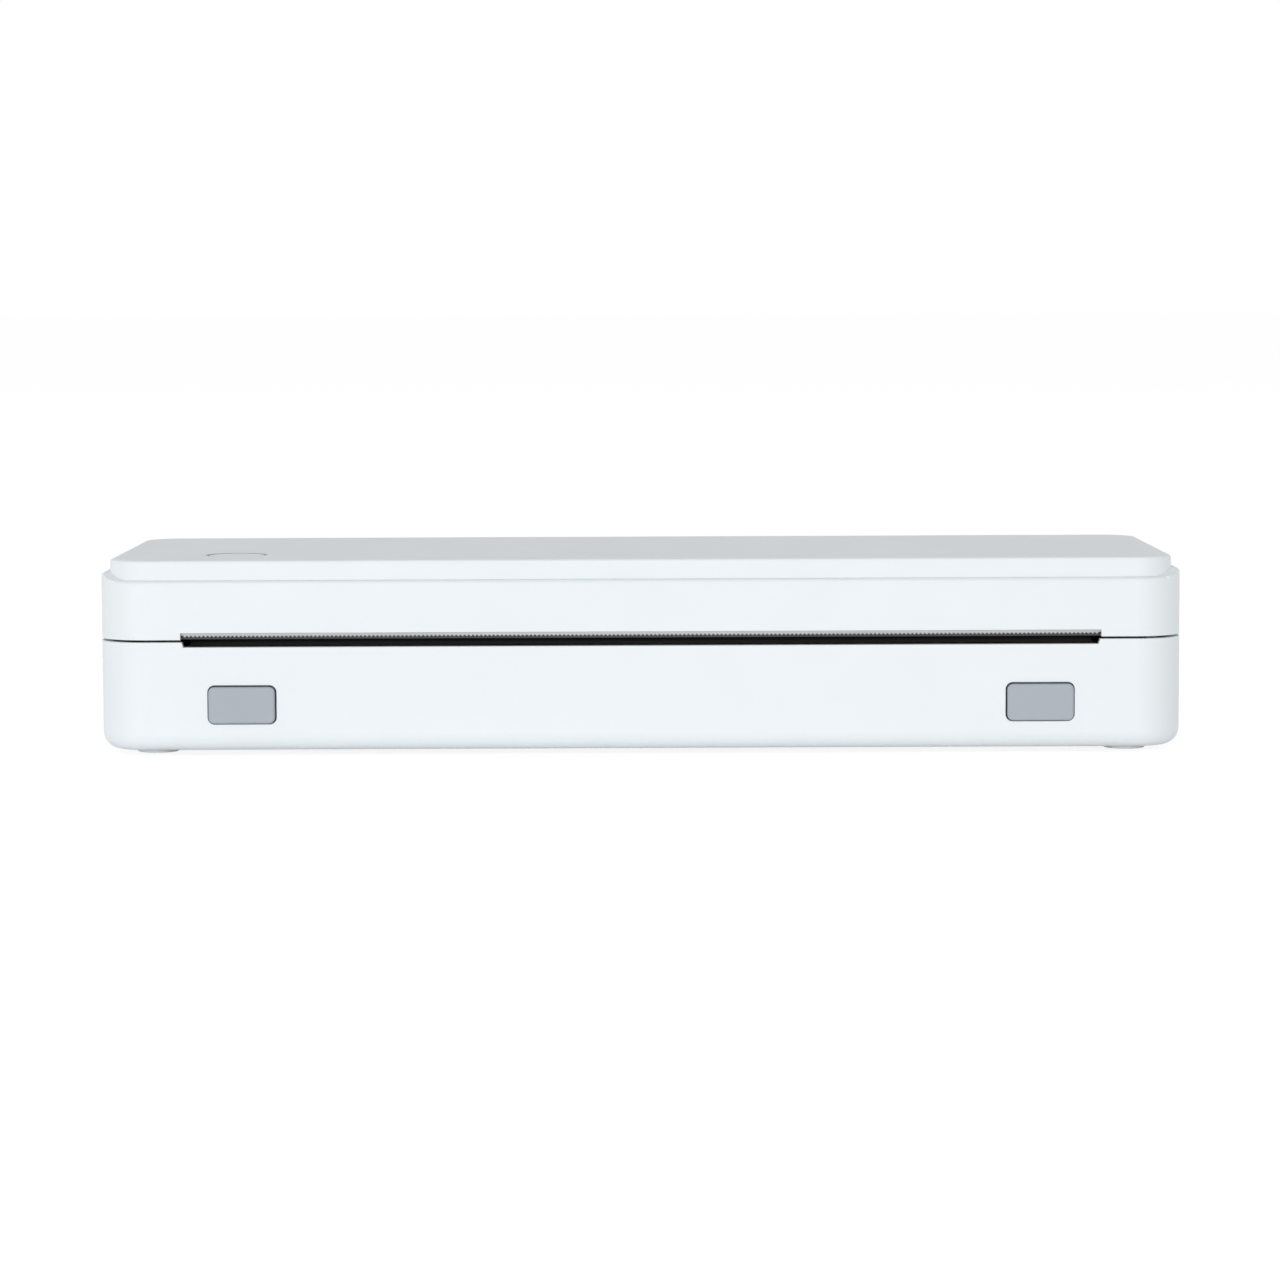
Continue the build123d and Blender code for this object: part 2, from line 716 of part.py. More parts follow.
def stepper_motor():
    inner = bracket_inside - motor_length
    can = rod_x(motor_radius, (inner, bracket_inside), motor_y, motor_z)
    can = fillet(can.edges().group_by(Axis.X)[0], 0.6)
    ears = block((bracket_inside - 0.8, bracket_inside), (motor_y - 2.5, motor_y + 2.5),
                 (motor_z - motor_radius - 0.4, motor_z + motor_radius + 2.2))
    bore = (bracket_inside - 5, bracket_inside + 1)
    return can + ears - rod_x(motor_shaft + running_fit, bore, motor_y, motor_z)


def guide_plate():
    span = (-bay_half + seat_gap, -bay_half + seat_gap + guide_thickness)
    disc = rod_x(bay_radius - gap - 0.1, span, bay_y, bay_z)
    plate = disc & block(span, (-depth, depth), (0, guide_top))
    middle = bay_y - rack_pitch - foot_width / 2 - 0.2
    foot = block((span[0], span[0] + 5), (middle - foot_width / 2, middle + foot_width / 2),
                 (rack_under + rack_thickness, bay_z - bay_radius + 4))
    window = rod_x(guide_window_radius, (span[0] - 1, span[1] + 1), bay_y, bay_z - guide_window_drop)
    return plate + foot - window


def guide_rack():
    start = -bay_half + seat_gap
    sketch = rack(start, rack_pitch + 2, bay_y - rack_pitch, 1, rack_slack)
    return extrude(Pos(0, 0, rack_under) * sketch, rack_thickness, dir=(0, 0, 1))


def turned(shape):
    """The same piece on the other side of the guide pinion."""
    return Pos(0, bay_y, 0) * Rot(0, 0, 180) * Pos(0, -bay_y, 0) * shape


def guide_pinion():
    sketch = Pos(0, bay_y) * gear(rack_pinion_teeth, rack_module, -math.pi / 2, rack_slack)
    wheel = extrude(Pos(0, 0, rack_under) * sketch, rack_thickness - 0.1, dir=(0, 0, 1))
    bore = (rack_under - 1, rack_under + rack_thickness + 1)
    return wheel - rod_z(guide_post_radius + running_fit, 0, bay_y, bore)


def battery_cells():
    cells = []
    for k in range(2):
        start = cells_start + k * (cell_length + cell_tip)
        end = start + cell_length
        can = rod_x(cell_radius, (start, end), cell_y, cell_z)
        cells.append(can + rod_x(cell_tip_radius, (end, end + cell_tip), cell_y, cell_z))
    return Compound(children=cells)


def battery_contacts():
    plates = []
    for x0 in (cells_start - contact_sheet, cells_end + cell_tip):
        plates.append(block((x0, x0 + contact_sheet), (cell_y - 5, cell_y + 5), (floor_top + 1, cell_z + 6)))
    return Compound(children=plates)


def main_board():
    board = block((board_x0, board_x1), (board_y0, board_y1), (board_under, board_top))
    for x, y in board_screw_places:
        board -= rod_z(screw_radius, x, y, (board_under - 1, board_top + 1))
    return board


def board_parts():
    """Plain bodies: place on the board, then size along X, along Y and in height."""
    middle = (ribbon_x0 + ribbon_x1) / 2
    sizes = [(board_x0 + 33.0, 9.8, 10.0, 10.0, 1.4), (board_x0 + 43.0, 10.3, 7.0, 7.0, 1.2),
             (board_x0 + 22.0, 15.9, 8.0, 3.2, 4.5), (board_x1 - 17.0, 12.8, 12.0, 9.0, 2.2),
             (board_x1 - 17.0, 4.0, 6.5, 6.5, 4.0), (board_x1 - 8.4, 9.0, 3.4, 5.0, 4.5),
             (board_x1 - 27.0, 14.8, 6.0, 3.0, 2.0)]
    sizes = [(x, board_y0 + y, a, b, h) for x, y, a, b, h in sizes]
    sizes.append((middle, ribbon_y, ribbon_width + 3, 3.2, 3.0))
    parts = []
    for x, y, a, b, h in sizes:
        parts.append(block((x - a / 2, x + a / 2), (y - b / 2, y + b / 2), (board_top, board_top + h)))
    for x in (board_x0 + 43.0, board_x1 - 27.0):
        parts.append(rod_z(3.1, x, board_y0 + 3.4, (board_top, board_top + 6.5)))
    return Compound(children=parts)


def usb_socket():
    z = board_top + usb_height / 2
    corner = usb_height / 2 - 0.05
    outside = RectangleRounded(usb_width, usb_height, corner)
    inside = RectangleRounded(usb_width - 2 * usb_shell, usb_height - 2 * usb_shell, corner - usb_shell)
    shell = along_y(Pos(usb_x, z) * outside, (board_y1 - 1.4, back - 0.3))
    hollow = along_y(Pos(usb_x, z) * inside, (back - 6.8, back))
    tongue = block((usb_x - 3.3, usb_x + 3.3), (back - 7.0, back - 1.2), (z - 0.35, z + 0.35))
    return shell - hollow + tongue


def base_ribbon():
    thick = (ribbon_y - ribbon_thickness / 2, ribbon_y + ribbon_thickness / 2)
    return block((ribbon_x0, ribbon_x1), thick, (board_top + 3.0, deck_top + 0.4))


def ribbon_loop():
    steps = 12
    front_side = []
    back_side = []
    for k in range(steps + 1):
        turn = math.pi * k / steps
        y = ribbon_y - ribbon_slack * math.sin(turn)**2
        z = deck_top + 0.4 + ribbon_rise * k / steps
        slope = -ribbon_slack * math.pi / ribbon_rise * math.sin(2 * turn)
        reach = ribbon_thickness / 2 / math.hypot(1, slope)
        front_side.append((y - reach, z + slope * reach))
        back_side.append((y + reach, z - slope * reach))
    return along_x(front_side + back_side[::-1], (ribbon_x0, ribbon_x1))


def cover_ribbon():
    x = (ribbon_x0, ribbon_x1)
    half = ribbon_thickness / 2
    bend_y = head_back + 4.0
    level = liner_under - 0.4
    low = sink_top + 1.3
    drop = block(x, (ribbon_y - half, ribbon_y + half), (deck_top + 0.4 + ribbon_rise, level + half))
    run = block(x, (bend_y - half, ribbon_y + half), (level - half, level + half))
    fall = block(x, (bend_y - half, bend_y + half), (low - half, level + half))
    end = block(x, (head_back - 1.4 + 0.3, bend_y + half), (low - half, low + half))
    return drop + run + fall + end


def cover_switch():
    x = bay_half + 7.8
    y0 = bay_y + bay_radius - 4
    body = block((x - 3.2, x + 3.2), (y0, y0 + 12), (deck_top, deck_top + 2.4))
    lever = block((x - 1.6, x + 1.6), (y0, y0 + 9), (deck_top + 2.4, deck_top + 2.7))
    return body + lever - rod_z(screw_radius + 3, *deck_front_places[1], (deck_top - 1, deck_top + 4))


def paper_sensor():
    y0 = frame_back + 2.8
    return block((-6, 6), (y0, y0 + 3.2), (deck_top, deck_top + 0.9))


def side_steps():
    """The higher step at both ends of the cover, which ramps down to the front and the back."""
    high = shoulder + side_rise
    raised = prism(0, cover_bottom, high)
    raised = fillet(raised.edges().group_by(Axis.Z)[-1], shoulder_round)
    start = (front + side_rise_start, back - side_rise_start)
    end = (front + side_rise_end, back - side_rise_end)
    points = [(start[0], shoulder), (end[0], high), (end[0], high + 1), (end[1], high + 1), (end[1], high),
              (start[1], shoulder), (start[1], shoulder - 2), (start[0], shoulder - 2)]
    return raised & along_x(points, (-half_x - 1, half_x + 1))


def cover_shell():
    lower = prism(0, cover_bottom, shoulder)
    lower = fillet(lower.edges().group_by(Axis.Z)[-1], shoulder_round) + side_steps()
    upper = prism(plateau_inset, shoulder - 3, roof)
    upper = fillet(upper.edges().group_by(Axis.Z)[-1], plateau_round)
    nose = rod_x(nose_radius, (-half_x, half_x), hinge_y, hinge_z)
    nose = nose & prism(0, hinge_z - nose_radius - 1, cover_bottom + 1)
    shell = lower + upper + nose
    shell -= prism(wall, cover_bottom, shoulder - roof_thickness)
    shell -= prism(plateau_inset + wall, shoulder - roof_thickness - 1, ceiling)
    hollow = rod_x(nose_radius - nose_wall, (-half_x, half_x), hinge_y, hinge_z)
    return shell - (hollow & prism(wall, hinge_z - nose_radius, cover_bottom + 1))


def cover_hinge_details(shell):
    reach = ear_width / 2 + gap
    for sign in (-1, 1):
        notch = side((ear_centre - reach, ear_centre + reach), sign)
        shell -= rod_x(nose_radius + ear_notch, notch, hinge_y, hinge_z)
        for near in (ear_centre - reach - cheek_width, ear_centre + reach):
            span = side((near, near + cheek_width), sign)
            shell += rod_x(nose_radius, span, hinge_y, hinge_z)
        bore = side((ear_centre - reach - cheek_width, ear_centre + reach + cheek_width), sign)
        shell -= rod_x(hinge_pin_radius + running_fit, bore, hinge_y, hinge_z)
    return shell


def latch_catch(sign):
    reach = latch_width / 2 + catch_side
    low = cover_bottom + catch_lift
    root = front_in - 0.3
    tip = front_in + catch_depth
    points = [(root, low), (tip - catch_chamfer, low), (tip, low + catch_chamfer),
              (tip, low + catch_height), (root, low + catch_height)]
    return along_x(points, side((latch_x - reach, latch_x + reach), sign))


def cover_fixings():
    adds = [latch_catch(-1), latch_catch(1)]
    adds += [boss(x, y, carrier_under + sheet, ceiling + 0.5) for x, y in carrier_places]
    adds += [boss(x, y, key_board_top, ceiling + 0.5) for x, y in key_places]
    adds += [boss(x, y, liner_under + liner_sheet, ceiling + 0.5) for x, y in liner_places]
    return adds


def cover_openings():
    opening = Rectangle(slot_width, slot_top - cover_bottom + 1)
    slot = along_y(Pos(0, (cover_bottom - 1 + slot_top) / 2) * opening, (front - 1, front_in + 0.1))
    reach = slot_half + bar_overlap
    rebate_z = (bar_tip - running_fit, bar_top + running_fit)
    rebate = block((-reach, reach), (front + bar_recess, front_in + 0.1), rebate_z)
    ring_radius = power_radius + power_gap + power_ring_wall
    cuts = [slot, rebate, rod_z(ring_radius, power_x, power_y, (ceiling - 1, roof + 1))]
    carrier_bore = (carrier_under, carrier_under + screw_length)
    cuts += [rod_z(screw_radius, x, y, carrier_bore) for x, y in carrier_places]
    key_bore = (key_board_top - 1, key_board_top - 1 + screw_length)
    cuts += [rod_z(screw_radius, x, y, key_bore) for x, y in key_places]
    return cuts


def top_cover():
    body = cover_hinge_details(cover_shell())
    for add in cover_fixings():
        body += add
    for cut in cover_openings():
        body -= cut
    return body


def cover_liner():
    level = (liner_under, liner_under + liner_sheet)
    plate = block((-bay_half - 8, bay_half + 8), (bay_y - 11, low_deck_step - 4), level)
    plate = fillet(plate.edges().filter_by(Axis.Z), liner_corner)
    for place in liner_rib_places:
        for x in (-place, place):
            plate += block((x - liner_rib_width / 2, x + liner_rib_width / 2), (bay_y - 8, low_deck_step - 8),
                           (liner_under - liner_rib_height, liner_under + 0.2))
    return plate


def tear_bar():
    half = slot_half + bar_overlap - seat_gap
    count = int((slot_width - 1.0) / tooth_pitch)
    start = -count * tooth_pitch / 2
    root = bar_tip + tooth_depth
    points = [(-half, bar_top), (-half, root), (start, root)]
    for k in range(count):
        points.append((start + (k + 0.5) * tooth_pitch, bar_tip))
        points.append((start + (k + 1) * tooth_pitch, root))
    points += [(half, root), (half, bar_top)]
    return along_y(Polygon(*points, align=None), (front + bar_recess, front + bar_recess + bar_thickness))


def exit_guard():
    """The black strip behind the tear bar that keeps the paper off the print head's edge."""
    reach = slot_half + bar_overlap - seat_gap
    low = slot_top - guard_drop
    back_face = front_in + guard_thickness
    high = bar_top + guard_overlap
    points = [(front_in, low), (back_face - 0.5, low), (back_face, low + 0.5)]
    points += [(back_face, high), (front_in, high)]
    return along_x(points, (-reach, reach))


def head_carrier():
    reach = head_half + 2.7
    plate = block((-reach, reach), (head_front, head_back + 1.0), (carrier_under, carrier_under + sheet))
    low = head_pivot_z - pivot_radius - 1.4
    cheek = block((reach - sheet, reach), (head_pivot_y - 4, head_back + 1.0), (low, carrier_under + sheet))
    body = plate + cheek + mirror(cheek, about=Plane.YZ)
    body -= rod_x(pivot_radius + running_fit, (-reach - 1, reach + 1), head_pivot_y, head_pivot_z)
    for x, y in carrier_places:
        body -= rod_z(screw_radius, x, y, (carrier_under - 1, carrier_under + sheet + 1))
    return body


def cover_screws():
    screws = [screw(x, y, carrier_under, False) for x, y in carrier_places]
    screws += [screw(x, y, key_board_top - 1.0, False) for x, y in key_places]
    return Compound(children=screws)


def key_board():
    level = (key_board_top - 1.0, key_board_top)
    board = block((power_x - 13, power_x + 13), (power_y - 8.5, power_y + 8.5), level)
    for x, y in key_places:
        board -= rod_z(screw_radius, x, y, (key_board_top - 2, key_board_top + 1))
    return board


def tact_switch():
    body = block((power_x - 3, power_x + 3), (power_y - 3, power_y + 3), (key_board_top, key_board_top + 1.2))
    return body + rod_z(1.6, power_x, power_y, (key_board_top + 1.2, key_board_top + 1.6))


def power_button():
    low = ceiling - gap - power_flange
    cap = rod_z(power_radius, power_x, power_y, (low, roof - power_sink))
    cap = fillet(cap.edges().group_by(Axis.Z)[-1], power_round)
    flange = rod_z(power_radius + 1.2, power_x, power_y, (low, low + power_flange))
    stem = rod_z(2.0, power_x, power_y, (key_board_top + 1.6 + power_travel + 0.1, low + 0.5))
    return cap + flange + stem


def power_ring():
    span = (ceiling, roof - power_ring_sink)
    ring = rod_z(power_radius + power_gap + power_ring_wall, power_x, power_y, span)
    return ring - rod_z(power_radius + power_gap, power_x, power_y, (ceiling - 1, roof + 1))


def head_heatsink():
    sink = block((-head_half, head_half), (head_front, head_back), (sink_under, sink_top))
    groove_z = (sink_top - sink_groove, sink_top + 1)
    for place in sink_groove_places:
        y = head_front + place
        sink -= block((-head_half - 1, head_half + 1), (y, y + sink_groove), groove_z)
    return sink - rod_x(pivot_radius, (-head_half - 1, head_half + 1), head_pivot_y, head_pivot_z)


def head_pivot_pins():
    return mirrored(rod_x(pivot_radius, (head_half - 6, head_half + 3.2), head_pivot_y, head_pivot_z))


def head_ceramic():
    span = (platen_y - ceramic_half, platen_y + ceramic_half)
    return block((-head_half + 1.5, head_half - 1.5), span, (head_under, sink_under))


def head_driver_cover():
    return block((-head_half + 4, head_half - 4), (platen_y + ceramic_half + 0.3, head_pivot_y - 0.5),
                 (sink_under - driver_thickness, sink_under))


def head_connector():
    span = (head_back - 5.4, head_back - 1.4)
    return block((ribbon_x0 - 1.5, ribbon_x1 + 1.5), span, (sink_top, sink_top + 2.6))


def head_springs():
    places = [(x, platen_y - 1.0) for x in (-slot_half + 21.25, -30.0, 30.0, slot_half - 21.25)]
    spring = coil(head_coil_radius, head_wire, carrier_height, 3)
    return Compound(children=[Pos(x, y, sink_top) * spring for x, y in places])


def release_cap(sign):
    face = RectangleRounded(button_width, button_height, button_corner)
    place = Pos(sign * (button_x + button_shift), button_z - button_shift)
    cap = along_y(place * face, (front - button_proud, front_in + gap))
    return fillet(cap.edges().group_by(Axis.Y)[0], button_edge)


def release_slider(sign):
    near = front_in + gap
    sheet_y = (near, near + flange_thickness)
    reach = button_width / 2 + flange_rim
    flange_x = side((button_x - reach, button_x + reach), sign)
    flange = block(flange_x, sheet_y, (floor_top + 2.4, button_z + button_height / 2 + 2.0))
    foot_x_span = side((button_x - slider_foot_half, button_x + slider_foot_half), sign)
    foot = block(foot_x_span, (near, near + 3.7), (floor_top + gap, floor_top + 1.6))
    neck = block(foot_x_span, sheet_y, (floor_top + gap, floor_top + 3))
    arm_x = side((button_x + 3.0, latch_x + latch_width / 2), sign)
    arm_z = (floor_top + arm_lift, floor_top + arm_lift + arm_height)
    arm = block(arm_x, (near, near + arm_thickness), arm_z)
    return flange + foot + neck + arm


def latch_leaf(sign):
    y = front_in + gap + arm_thickness
    low = floor_top + arm_lift
    catch_top = cover_bottom + catch_lift + catch_height
    bend = catch_top + 0.2
    path = [(y, low), (y, bend), (y - 1.8, bend + 1.4), (y, bend + 3.2), (y + 0.4, bend + 4.0)]
    points = path + [(a + leaf_thickness, b) for a, b in reversed(path)]
    return along_x(points, side((latch_x - latch_width / 2, latch_x + latch_width / 2), sign))


def release_spring(sign):
    start = front_in + gap + flange_thickness
    spring = coil(release_coil_radius, release_wire, spring_post - start, 4)
    return Pos(sign * button_x, start, button_z - 2.0) * Rot(-90, 0, 0) * spring


def save(shape, name):
    export_step(shape, "parts/" + name + ".step")


save(base_housing(), "base_housing")
save(rubber_feet(), "rubber_feet")
save(hinge_pins(), "hinge_pins")
save(mechanism_frame(), "mechanism_frame")
save(platen_bushes(), "platen_bushes")
save(exit_lip(), "exit_lip")
save(inner_deck(), "inner_deck")
save(base_screws(), "base_screws")
save(platen_shaft(), "platen_shaft")
save(platen_roller(), "platen_roller")
save(platen_gear(), "platen_gear")
save(idler_gear(), "idler_gear")
save(motor_pinion(), "motor_pinion")
save(gear_bracket(), "gear_bracket")
save(stepper_motor(), "stepper_motor")
save(guide_plate(), "paper_guide_left")
save(turned(guide_plate()), "paper_guide_right")
save(guide_rack(), "guide_rack_left")
save(turned(guide_rack()), "guide_rack_right")
save(guide_pinion(), "guide_pinion")
save(battery_cells(), "battery_cells")
save(battery_contacts(), "battery_contacts")
save(main_board(), "main_board")
save(board_parts(), "board_parts")
save(usb_socket(), "usb_socket")
save(base_ribbon(), "base_ribbon")
save(ribbon_loop(), "ribbon_loop")
save(cover_ribbon(), "cover_ribbon")
save(cover_switch(), "cover_switch")
save(paper_sensor(), "paper_sensor")
save(top_cover(), "top_cover")
save(cover_liner(), "cover_liner")
save(tear_bar(), "tear_bar")
save(exit_guard(), "exit_guard")
save(head_carrier(), "head_carrier")
save(cover_screws(), "cover_screws")
save(key_board(), "key_board")
save(tact_switch(), "tact_switch")
save(power_button(), "power_button")
save(power_ring(), "power_ring")
save(head_heatsink(), "head_heatsink")
save(head_pivot_pins(), "head_pivot_pins")
save(head_ceramic(), "head_ceramic")
save(head_driver_cover(), "head_driver_cover")
save(head_connector(), "head_connector")
save(head_springs(), "head_springs")
for sign, name in ((-1, "left"), (1, "right")):
    save(release_cap(sign), "release_button_" + name)
    save(release_slider(sign), "release_slider_" + name)
    save(latch_leaf(sign), "latch_leaf_" + name)
    save(release_spring(sign), "release_spring_" + name)
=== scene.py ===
import json
import math

import bmesh
import bpy
from mathutils import Matrix, Vector


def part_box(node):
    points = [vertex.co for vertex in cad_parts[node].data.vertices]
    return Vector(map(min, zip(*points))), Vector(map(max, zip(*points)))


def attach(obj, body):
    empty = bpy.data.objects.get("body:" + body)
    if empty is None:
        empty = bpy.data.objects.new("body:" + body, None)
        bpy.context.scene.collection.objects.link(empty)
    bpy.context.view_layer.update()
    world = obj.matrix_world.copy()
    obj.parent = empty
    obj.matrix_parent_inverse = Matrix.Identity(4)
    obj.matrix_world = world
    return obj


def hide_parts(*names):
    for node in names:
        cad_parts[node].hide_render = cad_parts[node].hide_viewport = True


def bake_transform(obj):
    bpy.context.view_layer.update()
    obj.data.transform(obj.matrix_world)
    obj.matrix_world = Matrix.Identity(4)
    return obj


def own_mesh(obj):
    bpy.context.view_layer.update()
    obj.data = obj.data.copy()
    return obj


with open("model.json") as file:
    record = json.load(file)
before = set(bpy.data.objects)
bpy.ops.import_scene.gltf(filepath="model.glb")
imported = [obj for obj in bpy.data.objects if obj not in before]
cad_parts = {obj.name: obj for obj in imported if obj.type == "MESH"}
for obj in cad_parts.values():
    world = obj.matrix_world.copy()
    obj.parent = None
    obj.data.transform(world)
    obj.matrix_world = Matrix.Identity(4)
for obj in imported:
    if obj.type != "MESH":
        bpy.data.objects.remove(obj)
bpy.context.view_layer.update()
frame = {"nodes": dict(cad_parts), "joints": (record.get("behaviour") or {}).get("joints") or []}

MM = 0.001

# Studio and camera, in metres and degrees
camera_distance = 0.985     # from the printer's front face
camera_height = 0.1114
camera_side = -0.0002
camera_pitch = 4.876
camera_roll = -0.24
camera_lens = 117.25
camera_sensor = 36.0
sky_light = 0.555
key_size = (2.6, 0.5)
key_place = (-0.45, -2.4, 0.30)
key_power = 30.7
fill_size = (1.8, 0.8)
fill_places = {"Left back panel": (-2.1, 1.5, 0.42), "Right back panel": (2.1, 1.5, 0.42)}
fill_power = 13.0
panel_aim = (0.0, 0.0, 0.02)
floor_reach = 14.0
floor_glow = 0.87
floor_grey = 0.22           # what the camera and reflections see of the floor, on top of its glow
floor_paper = 0.95          # what the floor throws back on to the printer

# Colours
white_plastic = (0.802, 0.845, 0.872)
dust_colour = (0.55, 0.55, 0.54)

# Pieces made here, their lengths in metres
screw_head_height = 0.9 * MM
wire_share = 20             # a spring's width over its wire's radius
ribbon_thickness = 0.3 * MM
ribbon_bow = 4.0 * MM
ribbon_steps = 40
head_glaze_half = 2.9 * MM  # glazed band, each side of the platen's axis
head_dots_half = 0.35 * MM
head_track_pitch = 0.8 * MM
ribbon_track_pitch = 1.0 * MM
smooth_below = 35.0         # degrees between faces that shade as one

# Turns of a shape that is made along Z
UP = (0.0, 0.0, 0.0)
DOWN = (math.pi, 0.0, 0.0)
TO_BACK = (-math.pi / 2, 0.0, 0.0)


# ---------------------------------------------------------------- joints of the frame

def joint_named(name):
    """What the frame says of a joint."""
    return next(joint for joint in frame["joints"] if joint["name"] == name)


def joint_place(name):
    """Where a joint's axis lies at rest."""
    return Vector(joint_named(name)["pos_m"])


# ---------------------------------------------------------------- node trees

def feed(tree, value, socket):
    """Links another node's output to an input, or sets the input to a plain value."""
    if isinstance(value, bpy.types.NodeSocket):
        tree.links.new(value, socket)
    else:
        socket.default_value = value


def new_node(tree, kind, **settings):
    """A new node of a tree with its settings."""
    made = tree.nodes.new(kind)
    for key, value in settings.items():
        setattr(made, key, value)
    return made


def node(tree, kind, settings=None, **inputs):
    """The outputs of a new node, whose inputs are fed by name."""
    made = new_node(tree, kind, **(settings or {}))
    for key, value in inputs.items():
        feed(tree, value, made.inputs[key.replace("_", " ")])
    return made.outputs


def in_order(tree, kind, settings, *values):
    """The outputs of a new node, whose inputs are fed in their order."""
    made = new_node(tree, kind, **settings)
    for value, socket in zip(values, made.inputs):
        feed(tree, value, socket)
    return made.outputs


def maths(tree, operation, *values, clamp=False):
    """The result of one arithmetic step on sockets or numbers."""
    return in_order(tree, "ShaderNodeMath", {"operation": operation, "use_clamp": clamp}, *values)[0]


def node_group(name, kind, inputs, outputs):
    """An empty node group with named inputs and outputs, and its two end nodes."""
    tree = bpy.data.node_groups.new(name, kind)
    for label, socket_kind, value in inputs:
        socket = tree.interface.new_socket(label, in_out="INPUT", socket_type=socket_kind)
        if value is not None:
            socket.default_value = value
    for label, socket_kind in outputs:
        tree.interface.new_socket(label, in_out="OUTPUT", socket_type=socket_kind)
    return tree, tree.nodes.new("NodeGroupInput").outputs, tree.nodes.new("NodeGroupOutput").inputs


# ---------------------------------------------------------------- shared shader effects

def object_place(tree):
    """The shaded point in the coordinates of its own piece."""
    return node(tree, "ShaderNodeTexCoord")["Object"]


def patches(tree, vector, scale, detail=2.0, roughness=0.5):
    """Soft cloudy patches from 0 to 1."""
    return node(tree, "ShaderNodeTexNoise", Vector=vector, Scale=scale, Detail=detail, Roughness=roughness)[0]


def shared_out(tree, first, second, share):
    """Two values added up, the first at its share and the second at the rest."""
    part = maths(tree, "MULTIPLY", first, share)
    rest = maths(tree, "MULTIPLY", second, 1.0 - share)
    return maths(tree, "ADD", part, rest)


def spark_texture():
    """The fine pebbled texture of a moulded shell: a height, and slow drifts of tone and gloss."""
    coarse_scale = 0.35
    gloss_scale = 2.7
    tree, given, out = node_group(
        "Spark texture", "ShaderNodeTree",
        [("Grains per metre", "NodeSocketFloat", 2600.0), ("Patches per metre", "NodeSocketFloat", 16.0)],
        [("Height", "NodeSocketFloat"), ("Tone", "NodeSocketFloat"), ("Gloss", "NodeSocketFloat")],
    )
    place = object_place(tree)
    grains = given["Grains per metre"]
    drifts = given["Patches per metre"]
    fine = patches(tree, place, grains, 3.0, 0.6)
    coarse = patches(tree, place, maths(tree, "MULTIPLY", grains, coarse_scale), 1.0)
    gloss = patches(tree, place, maths(tree, "MULTIPLY", drifts, gloss_scale), 4.0, 0.6)
    feed(tree, shared_out(tree, fine, coarse, 0.7), out["Height"])
    feed(tree, patches(tree, place, drifts, 3.0), out["Tone"])
    feed(tree, gloss, out["Gloss"])
    return tree


def drawn_lines():
    """Fine parallel lines left by rolling, drawing or grinding, along one axis of the piece."""
    tree, given, out = node_group(
        "Drawn lines", "ShaderNodeTree",
        [("Squeeze", "NodeSocketVector", (40.0, 4000.0, 4000.0)),
         ("Patches per metre", "NodeSocketFloat", 60.0)],
        [("Height", "NodeSocketFloat"), ("Tone", "NodeSocketFloat")],
    )
    place = object_place(tree)
    stretched = in_order(tree, "ShaderNodeVectorMath", {"operation": "MULTIPLY"}, place, given["Squeeze"])[0]
    lines = patches(tree, stretched, 1.0, 4.0, 0.7)
    slow = patches(tree, place, given["Patches per metre"], 2.0)
    feed(tree, lines, out["Height"])
    feed(tree, shared_out(tree, lines, slow, 0.6), out["Tone"])
    return tree


def eased_edges():
    """Edges as a mould or a deburring leaves them: a rounded normal, and a mask of where the edge is."""
    mask_gain = 4.0
    tree, given, out = node_group(
        "Eased edges", "ShaderNodeTree",
        [("Radius", "NodeSocketFloat", 0.00025)],
        [("Normal", "NodeSocketVector"), ("Edge", "NodeSocketFloat")],
    )
    rounded = node(tree, "ShaderNodeBevel", {"samples": 6}, Radius=given["Radius"])[0]
    true = node(tree, "ShaderNodeNewGeometry")["True Normal"]
    dot = in_order(tree, "ShaderNodeVectorMath", {"operation": "DOT_PRODUCT"}, rounded, true)["Value"]
    away = maths(tree, "SUBTRACT", 1.0, dot)
    feed(tree, rounded, out["Normal"])
    feed(tree, maths(tree, "MULTIPLY", away, mask_gain, clamp=True), out["Edge"])
    return tree


def settled_dust():
    """A thin pale film of dust on faces that look up, broken into patches."""
    tree, given, out = node_group(
        "Settled dust", "ShaderNodeTree",
        [("Patches per metre", "NodeSocketFloat", 90.0), ("Amount", "NodeSocketFloat", 0.25)],
        [("Dust", "NodeSocketFloat")],
    )
    true = node(tree, "ShaderNodeNewGeometry")["True Normal"]
    up = node(tree, "ShaderNodeSeparateXYZ", Vector=true)["Z"]
    cover = patches(tree, object_place(tree), given["Patches per metre"], 6.0, 0.7)
    top = maths(tree, "MULTIPLY", maths(tree, "MAXIMUM", up, 0.0), cover)
    feed(tree, maths(tree, "MULTIPLY", top, given["Amount"], clamp=True), out["Dust"])
    return tree


SPARK = spark_texture()
LINES = drawn_lines()
EDGES = eased_edges()
DUST = settled_dust()


# ---------------------------------------------------------------- finishes

def placed(tree, effect, **values):
    """A shared effect put into a material with its own values."""
    return node(tree, "ShaderNodeGroup", {"node_tree": effect}, **values)


def shaded(colour, factor=1.0):
    """A colour made darker or lighter, with its alpha."""
    return tuple(min(1.0, part * factor) for part in colour) + (1.0,)


def tinted(tree, mask, low, high):
    """A colour that goes from low to high with a mask."""
    low_place, high_place, colour_place = 6, 7, 2
    mix = new_node(tree, "ShaderNodeMix", data_type="RGBA")
    feed(tree, mask, mix.inputs["Factor"])
    feed(tree, low, mix.inputs[low_place])
    feed(tree, high, mix.inputs[high_place])
    return mix.outputs[colour_place]


def uneven(tree, mask, colour, drift):
    """A colour that drifts a little darker and lighter with a mask."""
    return tinted(tree, mask, shaded(colour, 1.0 - drift), shaded(colour, 1.0 + drift))


